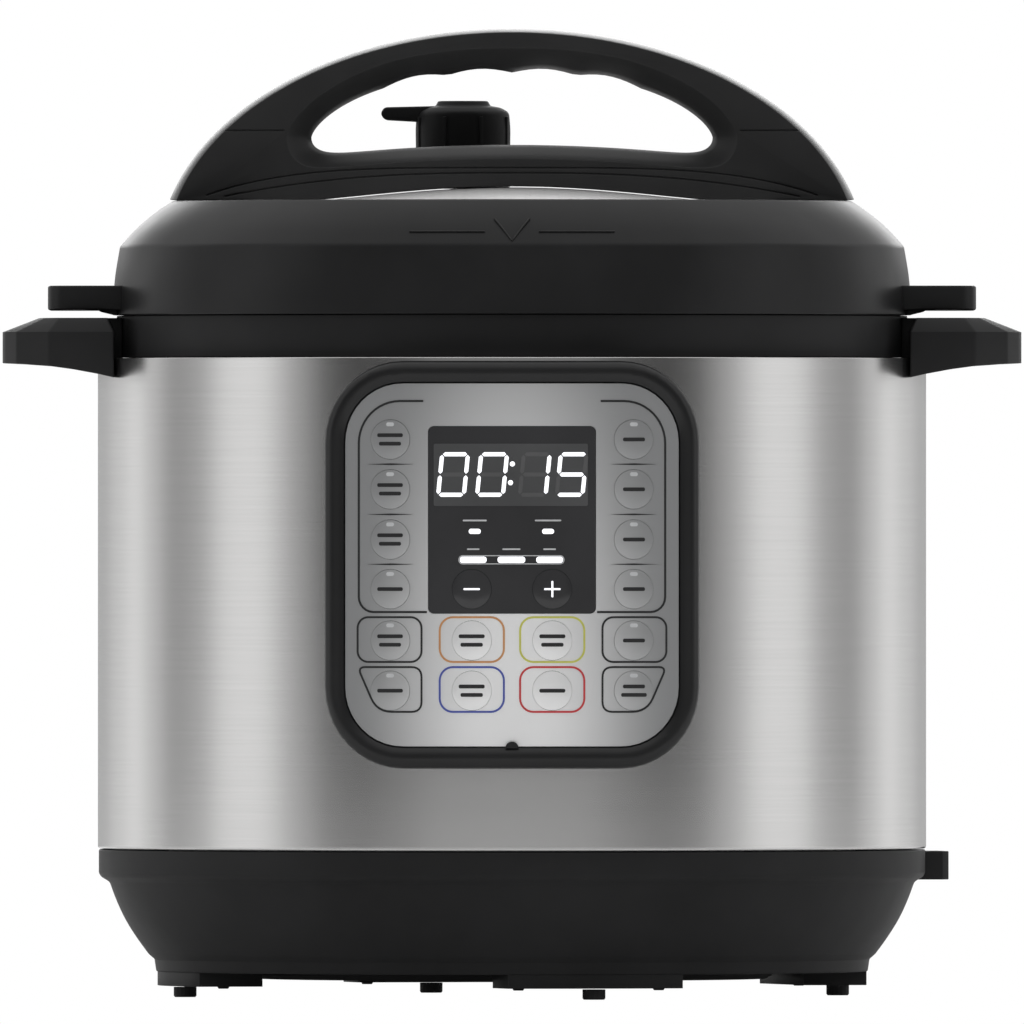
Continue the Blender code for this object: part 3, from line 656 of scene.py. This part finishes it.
KEY_ROWS = (185.7, 169.2, 152.6, 136.2, 119.2, 102.6)
KEY_SIDE_U = 40.7
KEY_MIDDLE_U = 13.4
KEY_R = 6.5
DARK_KEYS = ("key_minus", "key_plus")
ONE_LINE_KEYS = ("key_left_4", "key_left_6", "key_middle_4", *[f"key_right_{i}" for i in range(1, 6)])
WINDOW_Z = 159.1
WINDOW_SIZE = (55.8, 61.8)


def key_places():
    """Each key's name, and its place across and up the panel."""
    places = {}
    for i, z in enumerate(KEY_ROWS):
        places[f"key_left_{i + 1}"] = (-KEY_SIDE_U, z)
        places[f"key_right_{i + 1}"] = (KEY_SIDE_U, z)
    for row, names in ((3, ("minus", "plus")), (4, ("middle_1", "middle_2")), (5, ("middle_3", "middle_4"))):
        places[f"key_{names[0]}"] = (-KEY_MIDDLE_U, KEY_ROWS[row])
        places[f"key_{names[1]}"] = (KEY_MIDDLE_U, KEY_ROWS[row])
    return places


def make_film():
    outline = panel_frame_outline(7.5)
    film = put("panel_film", prism(outline, FILM_DEPTH, FILM_DEPTH + 1.4, "Y"), PAINTED_HIGHLIGHT_FILM)
    window = rounded(WINDOW_SIZE[0] + 0.3, WINDOW_SIZE[1] + 0.3, 2.0, (0.0, WINDOW_Z))
    cut(film, put("gap", prism(window, -10.0, 30.0, "Y"), None))
    glass_outline = rounded(*WINDOW_SIZE, 1.8, (0.0, WINDOW_Z))
    glass = put("window_glass", prism(glass_outline, FILM_DEPTH - 0.1, FILM_DEPTH + 1.7, "Y"), WINDOW)
    for name, place in key_places().items():
        hole = arc(place, KEY_R + 0.12, 0, 350, 35)
        cut(glass if name in DARK_KEYS else film, put("hole", prism(hole, -10.0, 30.0, "Y"), None))
    placed(bent(film), "base", "silver_film", "panel_plate")
    placed(bent(glass), "base", "smoked", "display_window")


def printed(name, bm, finish, slot="silver_film"):
    return placed(bent(put(name, bm, finish), 3.0), "base", slot)


INK_TOP = FILM_DEPTH - INK_HEIGHT
GLASS_INK_TOP = FILM_DEPTH - 0.1 - INK_HEIGHT


def line(name, points, width, finish, closed=False, top=INK_TOP):
    ribbon = stroke(fine(points, 3.0, closed), width, top, top + INK_HEIGHT, closed)
    return printed(name, ribbon, finish)


def stamped(name, outline, finish, slot="silver_film", top=INK_TOP):
    return printed(name, prism(outline, top, top + INK_HEIGHT, "Y"), finish, slot)


def on_glass(name, outline, finish):
    return stamped(name, outline, finish, "display", GLASS_INK_TOP)


def make_key_outlines():
    """The printed frames round the lower keys and the bracket round the upper ones."""
    for side, word in ((-1, "left"), (1, "right")):
        edge, high, low = 51.4, 198.4, 128.6
        corner = arc((edge - 14.0, high - 14.0), 14.0, 90, 0, 12)
        foot = arc((edge - 5.0, low + 5.0), 5.0, 0, -90, 6)
        bracket = [(side * x, z) for x, z in [(29.6, high)] + corner + foot + [(28.4, low)]]
        line(f"bracket_{word}", bracket, 0.7, PRINT_BLACK)
        whole = rounded(21.6, 14.8, 3.6, (side * 41.0, 119.5))
        line(f"frame_{word}_5", whole, 0.65, PRINT_BLACK, True)
        inner, outer = 30.2, 51.8
        shape = [(inner, 110.4, 3.4), (outer, 110.4, 2.6), (outer - 6.6, 95.6, 5.0), (inner, 95.6, 3.4)]
        line(f"frame_{word}_6", [(side * x, z) for x, z in softened(shape, 6)], 0.65, PRINT_BLACK, True)
        for index, z in enumerate((177.5, 160.9, 144.4)):
            lens = [(side * KEY_SIDE_U + x, z + y) for x, y in ((-7.8, 0), (0, -0.28), (7.8, 0), (0, 0.28))]
            stamped(f"divider_{word}_{index + 1}", lens, PRINT_BLACK)
    for index, finish in enumerate((PRINT_ORANGE, PRINT_YELLOW, PRINT_BLUE, PRINT_RED)):
        place = (-KEY_MIDDLE_U if index % 2 == 0 else KEY_MIDDLE_U, 119.5 if index < 2 else 103.0)
        outline = rounded(21.4, 14.8, 4.4, place)
        line(f"frame_middle_{index + 1}", outline, 0.65, finish, True)


# Which of the seven segments are lit: top, upper right, lower right, bottom, lower left, upper left, middle
DIGITS = {"0": (1, 1, 1, 1, 1, 1, 0), "1": (0, 1, 1, 0, 0, 0, 0), "5": (1, 0, 1, 1, 0, 1, 1)}
DIGIT_WIDTH = 8.6
DIGIT_HEIGHT = 13.4
SEGMENT = 1.35
SLANT = 0.10


def segment_outlines():
    """The seven segments of a digit whose lower left corner is the origin."""
    w, h, t, gap = DIGIT_WIDTH, DIGIT_HEIGHT, SEGMENT / 2, 0.25

    def bar(x0, z0, x1, z1):
        a, b = Vector((x0, z0)), Vector((x1, z1))
        along = (b - a).normalized()
        side = Vector((-along.y, along.x)) * t
        a, b = a + along * gap, b - along * gap
        inner_a, inner_b = a + along * t, b - along * t
        corners = (a, inner_a + side, inner_b + side, b, inner_b - side, inner_a - side)
        return [(corner.x + SLANT * corner.y, corner.y) for corner in corners]

    upright = (bar(w, h / 2, w, h), bar(w, 0, w, h / 2))
    left = (bar(0, 0, 0, h / 2), bar(0, h / 2, 0, h))
    return [bar(0, h, w, h), *upright, bar(0, 0, w, 0), *left, bar(0, h / 2, w, h / 2)]


def make_display():
    top = GLASS_INK_TOP
    on_glass("display_field", rounded(51.4, 20.6, 0.6, (-0.4, 174.0)), DISPLAY)
    low = 167.4
    for index, (digit, left) in enumerate(zip("0015", (-24.6, -11.6, 2.6, 14.9))):
        for number, (outline, lit) in enumerate(zip(segment_outlines(), DIGITS[digit])):
            shape = [(left + x, low + z) for x, z in outline]
            front = top - (0.08 if lit else 0.04)
            finish = LIT if lit else UNLIT
            segment = prism(shape, front, top + 0.02, "Y")
            printed(f"segment_{index + 1}_{number + 1}", segment, finish, "display")
    for index, z in enumerate((171.4, 177.6)):
        dot = arc((-0.9 + SLANT * (z - low), z), 0.85, 0, 345, 23)
        printed(f"colon_{index + 1}", prism(dot, top - 0.08, top + 0.02, "Y"), LIT, "display")


def make_window_marks():
    for side in (-1, 1):
        on_glass(f"pressure_lamp_{side + 2}", rounded(4.0, 1.7, 0.84, (side * 12.2 - 0.2, 155.3)), LIT)
        caption = rounded(8.4 + side * 0.4, 0.55, 0.27, (side * 12.2 - 0.2, 158.9), 3)
        on_glass(f"pressure_caption_{side + 2}", caption, PIP)
    line("level_frame", rounded(35.0, 2.7, 1.3, (-0.2, 145.9)), 0.3, PIP, True, GLASS_INK_TOP)
    for index, (centre, width, caption) in enumerate(((-12.9, 8.9, 4.2), (-0.2, 9.2, 6.0), (12.5, 8.9, 4.2))):
        on_glass(f"level_bar_{index + 1}", rounded(width, 2.1, 0.9, (centre, 145.9), 4), LIT)
        on_glass(f"level_caption_{index + 1}", rounded(caption, 0.5, 0.25, (centre, 149.4), 3), PIP)


def key_frame(u, z):
    """The matrix that puts a key's own Z along the panel's normal."""
    where = Vector(MM * value for value in panel_place(u, FILM_DEPTH, z))
    turn = Matrix.Rotation(u / PANEL_R, 4, "Z") @ Matrix.Rotation(math.pi / 2, 4, "X")
    return Matrix.Translation(where) @ turn


DOME_EDGE = 0.15
DOME_TOP = 0.75


def dome_height(radius):
    share = min(1.0, radius / KEY_R)
    return DOME_EDGE + (DOME_TOP - DOME_EDGE) * (1 - share**3)


def on_dome(name, outline, finish, key, matrix):
    """A mark printed on a key's dome. It follows the dome's surface."""
    points = fine(outline, 1.0, True)
    rings = []
    for lift in (-0.05, 0.06):
        rings.append([(x, y, dome_height(math.hypot(x, y)) + lift) for x, y in points])
    bm = loft(rings)
    bmesh.ops.triangulate(bm, faces=[face for face in bm.faces if len(face.verts) > 4])
    mark = put(name, bm, finish)
    mark.data.transform(matrix)
    return placed(mark, key, "smoked" if key in DARK_KEYS else "silver_film")


def make_keys():
    steps = 8
    dome = [(0.0, DOME_TOP)]
    dome += [(KEY_R * i / steps, dome_height(KEY_R * i / steps)) for i in range(1, steps + 1)]
    dome += [(KEY_R, -2.6), (0.0, -2.6)]
    for name, (u, z) in key_places().items():
        dark = name in DARK_KEYS
        matrix = key_frame(u, z)
        cap = put(f"{name}_dome", lathe(dome, 48), WINDOW if dark else PAINTED_HIGHLIGHT_FILM)
        cap.data.transform(matrix)
        placed(cap, name, "smoked" if dark else "silver_film", name)
        if dark:
            bars = ((5.4, 0.62),) if name == "key_minus" else ((5.4, 0.62), (0.62, 5.4))
            for index, (width, height) in enumerate(bars):
                on_dome(f"{name}_sign_{index + 1}", rounded(width, height, 0.2, steps=2), LIT, name, matrix)
            continue
        for index, height in enumerate((0.0,) if name in ONE_LINE_KEYS else (1.4, -1.4)):
            width = 7.4 if (index + len(name)) % 2 else 8.6
            outline = rounded(width, 1.25, 0.5, (0.0, height), 3)
            on_dome(f"{name}_label_{index + 1}", outline, PRINT_BLACK, name, matrix)
        if "middle" not in name:
            on_dome(f"{name}_pip", rounded(2.6, 1.3, 0.6, (0.0, 5.0), 4), PIP, name, matrix)


# ---- lid ----


def make_lid_cover():
    inner = PLATE_R + 0.3
    corners = [(133.4, LID_LOW, 0.4), (132.7, 240.0, 4.0), (130.9, 250.4, 0.9), (125.2, 256.7, 4.0)]
    corners += [(119.4, 261.5, 3.0), (113.6, LID_RIM_Z, 1.2), (inner, 264.7, 0.5), (inner, 261.6, 0.4)]
    corners += [(111.6, 261.8, 2.0), (126.6, 250.6, 3.0), (129.6, 240.0, 3.0), (130.2, LID_LOW, 0.3)]
    cover = put("lid_ring", lathe(softened(corners)), LID_BLACK)
    placed(cover, "lid", "black_plastic", "lid_cover")
    for side, word in ((-1, "left"), (1, "right")):
        fin = arc((0.0, 0.0), 131.6, -12.0, 12.0, 8)
        fin += [(146.0, 27.6)] + arc((147.4, 20.0), 7.4, 85, 0, 8)
        fin += [(x, -y) for x, y in reversed(fin[9:])]
        piece = put(f"lid_fin_{word}", prism([(side * x, y) for x, y in fin], 229.0, 237.2), LID_BLACK)
        placed(eased(piece, 0.7, 3), "lid", "black_plastic")
        web = [(131.6, 229.6), (138.4, 229.6), (137.6, 228.6), (133.0, 227.5), (131.6, 227.5)]
        web = prism([(side * x, z) for x, z in web], -22.0, 22.0, "Y")
        placed(eased(put(f"lid_gusset_{word}", web, LID_BLACK), 0.3, 2), "lid", "black_plastic")


def on_shoulder(x, rise):
    """A place on the front of the lid's shoulder: rise is 0 at its lower edge and 1 at the rim."""
    low_r, low_z = 130.9, 250.4
    high_r, high_z = 113.6, LID_RIM_Z
    bulge = 1.25 * math.sin(math.pi * rise)
    slope = Vector((low_r - high_r, high_z - low_z)).normalized()
    radius = low_r + (high_r - low_r) * rise + bulge * slope.y
    z = low_z + (high_z - low_z) * rise + bulge * slope.x
    return Vector((x, -math.sqrt(radius**2 - x**2), z))


def make_lid_mark():
    """The lock mark on the front of the lid: a level line with an arrow that points down."""
    level = 0.24
    lines = [[(-34.0, level), (-9.0, level)], [(9.0, level), (34.0, level)]]
    lines += [[(-5.8, 0.50), (0.0, 0.06), (5.8, 0.50)]]
    for index, points in enumerate(lines):
        path = []
        for a, b in zip(points, points[1:]):
            path += [on_shoulder(*between(a, b, k / 10)) for k in range(11)]
        curve = bpy.data.curves.new(f"lid_mark_{index + 1}", "CURVE")
        curve.dimensions = "3D"
        spline = curve.splines.new("POLY")
        spline.points.add(len(path) - 1)
        for point, place in zip(spline.points, path):
            point.co = (*(MM * place), 1.0)
        curve.bevel_depth = MM * 0.32
        curve.bevel_resolution = 2
        curve.use_fill_caps = True
        # The lock mark's near-black colour is painted shade of an engraved line.
        curve.materials.append(ENGRAVED_PAINTED_SHADE)
        mark = bpy.data.objects.new(f"lid_mark_{index + 1}", curve)
        bpy.context.scene.collection.objects.link(mark)
        placed(mark, "lid", "black_plastic")


def plate_height(radius):
    """The bright plate's dome, which flattens out at its middle and at its edge."""
    return PLATE_EDGE_Z + (PLATE_TOP_Z - PLATE_EDGE_Z) * (1 - (radius / PLATE_R) ** 2) ** 2


def make_lid_plate():
    steps = [PLATE_R * i / 24 for i in range(25)]
    profile = [(r, plate_height(r)) for r in steps]
    profile += [(r, z - 1.0) for r, z in reversed(profile)]
    plate = put("bright_plate", lathe(profile), PLATE_STEEL)
    drill(plate, 8, VALVE_X, VALVE_Y, 48)
    drill(plate, 4.2, FLOAT_X, FLOAT_Y)
    smooth(plate, 30)
    placed(plate, "lid", "brushed_steel", "lid_top_plate")


ARCH_FOOT_Z = LID_RIM_Z + 0.5


def arch_outside(inset_x=0.0, inset_z=0.0):
    """The arch's outer line: half an ellipse on the lid, and below it a bow over the plate."""
    half_width, rise = 118.0, 76.0
    centre_z = ARCH_TOP - rise
    foot_angle = math.asin((ARCH_FOOT_Z - centre_z) / rise)
    steps = 72
    points = []
    for i in range(steps + 1):
        angle = foot_angle + (math.pi - 2 * foot_angle) * i / steps
        z = centre_z + (rise - inset_z) * math.sin(angle)
        points.append(((half_width - inset_x) * math.cos(angle), z))
    bow = [64.0 * (i / 16 - 1) for i in range(33)]
    return points + [(x, max(ARCH_FOOT_Z, plate_height(abs(x)) + 0.4)) for x in bow]


def arch_opening(half_width, crest, hollow, sill):
    """A round-topped opening over a gently bowed sill, with finger hollows above where hollow is over 0."""
    tip_z = 286.7
    finger = 21.5
    shares = [math.sin(math.pi / 2 * i / 36) for i in range(37)]
    shares = [-share for share in reversed(shares[1:])] + shares
    top, bottom = [], []
    for share in shares:
        x = half_width * share
        dent = hollow * abs(math.sin(math.pi * x / finger)) if abs(x) <= 2 * finger else 0.0
        top.append((x, tip_z + crest * (1 - abs(share) ** 2.4) ** 0.66 + dent))
        floor = sill - 3.6 * (x / 64.0) ** 2
        bottom.append((x, tip_z - (tip_z - floor) * (1 - abs(share) ** 14) ** 0.5))
    return top[::-1] + bottom[1:-1]


def make_arch():
    """The arched handle. It is crowned from front to back, and its hand hole flares both ways."""
    depth = ARCH_HALF_DEPTH
    rings = []
    for i in range(21):
        share = i / 10 - 1
        crown = abs(share) ** 2.4
        rings.append([(x, depth * share, z) for x, z in arch_outside(2.4 * crown, 1.3 * crown)])
    # The arch's lighter black is painted light.
    arch = put("arch_handle", loft(rings), ARCH_BLACK_PAINTED_LIGHTER)
    hole = arch_opening(67.0, 21.8, 1.4, 284.3)
    flare = arch_opening(75.2, 29.8, 0.0, 279.6)
    rings = []
    for inward, share in ((-1.0, 1.0), (0.0, 1.0), (4.0, 0.62), (8.0, 0.22), (11.0, 0.0)):
        ring = [between(a, b, share) for a, b in zip(hole, flare)]
        rings.append([(x, inward - depth, z) for x, z in ring])
    rings += [[(x, -y, z) for x, y, z in ring] for ring in reversed(rings)]
    cut(arch, put("hand_hole", loft(rings), None))
    steps = [i / 24 - 1 for i in range(49)]
    creases = [[(102.0 * t, 276.6 - 9.3 * abs(t) ** 4) for t in steps]]
    creases += [[(96.0 * t, 274.9 - 8.0 * abs(t) ** 2.6) for t in steps]]
    creases += [[(side * 76.0, 289.0), (side * 100.0, 289.0)] for side in (-1, 1)]
    for points in creases:
        for low, high in ((-depth - 1.0, 0.6 - depth), (depth - 0.6, depth + 1.0)):
            cut(arch, put("crease", stroke(points, 0.5, low, high), None))
    smooth(arch, 30)
    eased(arch, 0.9, 3, 50)
    placed(arch, "lid", "black_plastic", "lid_handle")


def make_lid_pan():
    low, high = low_of("lid_inner_pan").z, top_of("lid_inner_pan").z
    reach = top_of("lid_inner_pan").x
    corners = [(0.0, high, 0.0), (89.0, high, 4.0), (106.0, low + SHEET, 3.0), (reach, low + SHEET, 0.4)]
    corners += [(reach, low, 0.4), (105.4, low, 3.0), (88.4, high - SHEET, 4.0), (0.0, high - SHEET, 0.0)]
    pan = put("inner_lid", lathe(softened(corners)), PAN_STEEL)
    drill(pan, 4.8, VALVE_X, VALVE_Y)
    drill(pan, 3.5, FLOAT_X, FLOAT_Y)
    smooth(pan, 30)
    placed(pan, "lid", "brushed_steel", "lid_inner_pan")
    low, high = low_of("lid_locking_ring").z, top_of("lid_locking_ring").z
    corners = [(reach - SHEET, low, 0.3), (reach, low, 0.3), (reach, high, 0.2), (reach - SHEET, high, 0.2)]
    make_turned("locking_ring", corners, PAN_STEEL, "lid", "brushed_steel", "lid_locking_ring")
    seal = [(112.6, 220.4, 1.2), (120.0, 220.4, 1.6), (123.0, 224.0, 1.5), (123.0, 231.6, 1.5)]
    seal += [(120.4, 234.5, 1.0), (113.0, 234.5, 1.0), (110.2, 233.0, 1.0), (110.2, 224.0, 1.5)]
    make_turned("silicone_ring", seal, SILICONE, "seal", "silicone", "sealing_ring")
    wire = arc((107.4, 229.5), 1.2, 0, 330, 11)
    rack = put("rack_wire", lathe(wire), WIRE_STEEL)
    placed(rack, "lid", "brushed_steel", "sealing_ring_rack")


def make_valve():
    """The steam release handle: a capped drum with a flat lever to the left."""
    base_z = low_of("steam_release_handle").z
    top_z = top_of("steam_release_handle").z
    cap = [(0.0, top_z, 0.0), (8.3, top_z, 0.5), (9.2, top_z - 1.6, 0.5), (12.6, top_z - 2.2, 1.0)]
    cap += [(15.4, top_z - 3.8, 1.2), (15.9, top_z - 9.0, 2.0), (15.6, base_z, 0.6), (12.4, base_z, 0.4)]
    cap += [(12.4, 280.0, 0.6), (5.0, 280.0, 0.3), (5.0, 287.0, 0.5), (0.0, 287.0, 0.0)]
    drum = put("valve_drum", lathe(softened(cap), 64), BLACK, (VALVE_X, VALVE_Y, 0.0))
    smooth(drum, 35)
    placed(drum, "steam_valve", "black_plastic", "steam_release_handle")
    side = [(-9.0, 291.4, 0.0), (-15.4, 292.3, 2.0), (-26.2, 292.9, 1.4), (-27.7, 295.0, 1.2)]
    side += [(-26.4, 297.2, 1.2), (-9.0, 297.6, 0.0)]
    lever = put("valve_lever", prism(softened(side), -5.2, 5.2, "Y"), BLACK, (VALVE_X, VALVE_Y, 0.0))
    placed(eased(lever, 0.8, 3), "steam_valve", "black_plastic")
    for index in range(8):
        angle = 22.5 + 45.0 * index
        rib = put(f"valve_rib_{index + 1}", block((15.4, 16.3), (-0.7, 0.7), (272.0, 294.0)), BLACK)
        turned_by(rib, angle)
        rib.data.transform(Matrix.Translation((MM * VALVE_X, MM * VALVE_Y, 0.0)))
        placed(eased(rib, 0.3, 2), "steam_valve", "black_plastic")


# ---- kept CAD nodes ----


def paint_kept_nodes():
    """Better materials for the CAD nodes whose shapes stay."""
    finishes = (
        (BLACK, "bottom_cover collector_bracket"),
        (CLEAR, "condensation_collector"),
        (CIRCUIT, "control_board power_board"),
        (DISPLAY, "display_module"),
        (PAN_STEEL, "sensor_bracket steam_pipe anti_block_shield float_valve_pin"),
        (WIRE_STEEL, "sensor_spring handle_screw_left handle_screw_right"),
        (RED_SILICONE, "float_valve_cap"),
        (RUBBER, "foot_1 foot_2 foot_3 foot_4"),
        (BRASS, "inlet_pin_1 inlet_pin_2 inlet_pin_3"),
    )
    for finish, names in finishes:
        for name in names.split():
            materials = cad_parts[name].data.materials
            materials.clear()
            materials.append(finish)


# ---- stage ----


FRAME_WIDTH = 342.0
VIEW_CENTRE_Z = 161.7
CAMERA_DISTANCE = 15.0
SENSOR = 36.0


def make_camera():
    data = bpy.data.cameras.new("camera")
    data.sensor_width = SENSOR
    data.lens = SENSOR * CAMERA_DISTANCE / (MM * FRAME_WIDTH)
    data.clip_end = 200.0
    camera = bpy.data.objects.new("camera", data)
    camera.location = (0.0, -CAMERA_DISTANCE, MM * VIEW_CENTRE_Z)
    camera.rotation_euler = (math.pi / 2, 0.0, 0.0)
    bpy.context.scene.collection.objects.link(camera)
    bpy.context.scene.camera = camera


def make_floor():
    """A pale floor that fades to the white of the backdrop. Seen edge on, it glows plain white as a painted
    reflection of it.
    """
    finish, shader = blank("floor_white", (0.86, 0.86, 0.86), 0.7)
    tree, links = finish.node_tree, finish.node_tree.links
    reach = add_node(tree, "VectorMath", operation="LENGTH")
    fade = add_node(tree, "MapRange", {"From Min": 0.22, "From Max": 0.75, "To Min": 0.10, "To Max": 0.8})
    links.new(add_node(tree, "TexCoord").outputs["Object"], reach.inputs[0])
    links.new(reach.outputs["Value"], fade.inputs["Value"])
    shader.inputs["Emission Color"].default_value = (1.0, 1.0, 1.0, 1.0)
    # The floor that the steel mirrors is darker than the one that is seen
    mirrored = add_node(tree, "MapRange", {"To Min": 1.0, "To Max": 0.3})
    strength = add_node(tree, "Math", operation="MULTIPLY")
    links.new(add_node(tree, "LightPath").outputs["Is Glossy Ray"], mirrored.inputs["Value"])
    links.new(fade.outputs["Result"], strength.inputs[0])
    links.new(mirrored.outputs["Result"], strength.inputs[1])
    links.new(strength.outputs["Value"], shader.inputs["Emission Strength"])
    # Seen edge on, the floor turns to plain white emission: a painted reflection of the white backdrop.
    backdrop = add_node(tree, "Emission")
    painted_reflection_share = add_node(tree, "MapRange", {"From Min": 0.95, "From Max": 0.98})
    mix = add_node(tree, "MixShader")
    links.new(add_node(tree, "LayerWeight").outputs["Facing"], painted_reflection_share.inputs["Value"])
    links.new(painted_reflection_share.outputs["Result"], mix.inputs["Fac"])
    links.new(shader.outputs["BSDF"], mix.inputs[1])
    links.new(backdrop.outputs["Emission"], mix.inputs[2])
    links.new(mix.outputs["Shader"], tree.nodes["Material Output"].inputs["Surface"])
    bm = bmesh.new()
    bmesh.ops.create_circle(bm, cap_ends=True, segments=96, radius=900.0)
    put("floor", bm, finish)


# The studio's walls as the steel mirrors them: degrees round from the front, and brightness
WALLS = ((0, 0.27), (20, 0.25), (32, 0.12), (42, 0.03), (52, 0.08), (62, 0.42), (75, 1.02), (86, 0.98))
WALLS += ((98, 0.46), (109, 0.34), (120, 0.70), (130, 1.00), (142, 0.74), (160, 0.47), (180, 0.42))
CEILING = 1.1
BACK_STRIP = 3.6


def make_world():
    """White behind the cooker, and a room of soft panels for what it mirrors."""
    world = bpy.data.worlds.new("studio")
    bpy.context.scene.world = world
    world.use_nodes = True
    tree, links = world.node_tree, world.node_tree.links

    def math_node(operation, first, second):
        node = add_node(tree, "Math", operation=operation)
        for socket, value in zip(node.inputs, (first, second)):
            if isinstance(value, float):
                socket.default_value = value
            else:
                links.new(value, socket)
        return node.outputs["Value"]

    def step(value, low, high):
        limits = {"From Min": low, "From Max": high}
        node = add_node(tree, "MapRange", limits, interpolation_type="SMOOTHSTEP")
        links.new(value, node.inputs["Value"])
        return node.outputs["Result"]

    def over(below, level, share):
        node = add_node(tree, "Mix", {"B": (level, level, level, 1.0)}, data_type="RGBA")
        links.new(share, node.inputs["Factor"])
        links.new(below, node.inputs["A"])
        return node.outputs["Result"]

    parts = add_node(tree, "SeparateXYZ")
    links.new(add_node(tree, "TexCoord").outputs["Generated"], parts.inputs["Vector"])
    ahead = math_node("MULTIPLY", parts.outputs["Y"], -1.0)
    round_angle = math_node("ARCTAN2", parts.outputs["X"], ahead)
    ramp = add_node(tree, "ValToRGB")
    ramp.color_ramp.interpolation = "EASE"
    stops = ramp.color_ramp.elements
    for degrees, level in [(-d, v) for d, v in reversed(WALLS[1:])] + list(WALLS):
        position = degrees / 360 + 0.5
        stop = stops[0] if degrees == -180 else stops[-1] if degrees == 180 else stops.new(position)
        stop.position = position
        stop.color = (level, level, level, 1.0)
    links.new(math_node("ADD", math_node("DIVIDE", round_angle, 2 * math.pi), 0.5), ramp.inputs["Fac"])
    room_colour = over(ramp.outputs["Color"], CEILING, step(parts.outputs["Z"], 0.45, 0.92))
    # A bright strip low on the back wall, which the black plastic mirrors along its outline
    strip = math_node("MULTIPLY", step(parts.outputs["Y"], 0.88, 0.97), step(parts.outputs["Z"], 0.05, 0.13))
    room = tree.nodes["Background"]
    links.new(over(room_colour, BACK_STRIP, strip), room.inputs["Color"])
    white = add_node(tree, "Background", {"Color": (1.0, 1.0, 1.0, 1.0)})
    mix = add_node(tree, "MixShader")
    links.new(add_node(tree, "LightPath").outputs["Is Camera Ray"], mix.inputs["Fac"])
    links.new(room.outputs["Background"], mix.inputs[1])
    links.new(white.outputs["Background"], mix.inputs[2])
    links.new(mix.outputs["Shader"], tree.nodes["World Output"].inputs["Surface"])


make_camera()
make_floor()
make_world()
bpy.context.scene.view_settings.view_transform = "Standard"
make_shell()
make_collar()
make_liner()
make_heater()
make_inner_pot()
make_base()
make_side_handle(1)
make_side_handle(-1)
make_inlet()
make_bezel()
make_film()
make_key_outlines()
make_display()
make_window_marks()
make_keys()
make_lid_cover()
make_lid_mark()
make_lid_plate()
make_arch()
make_lid_pan()
make_valve()
paint_kept_nodes()
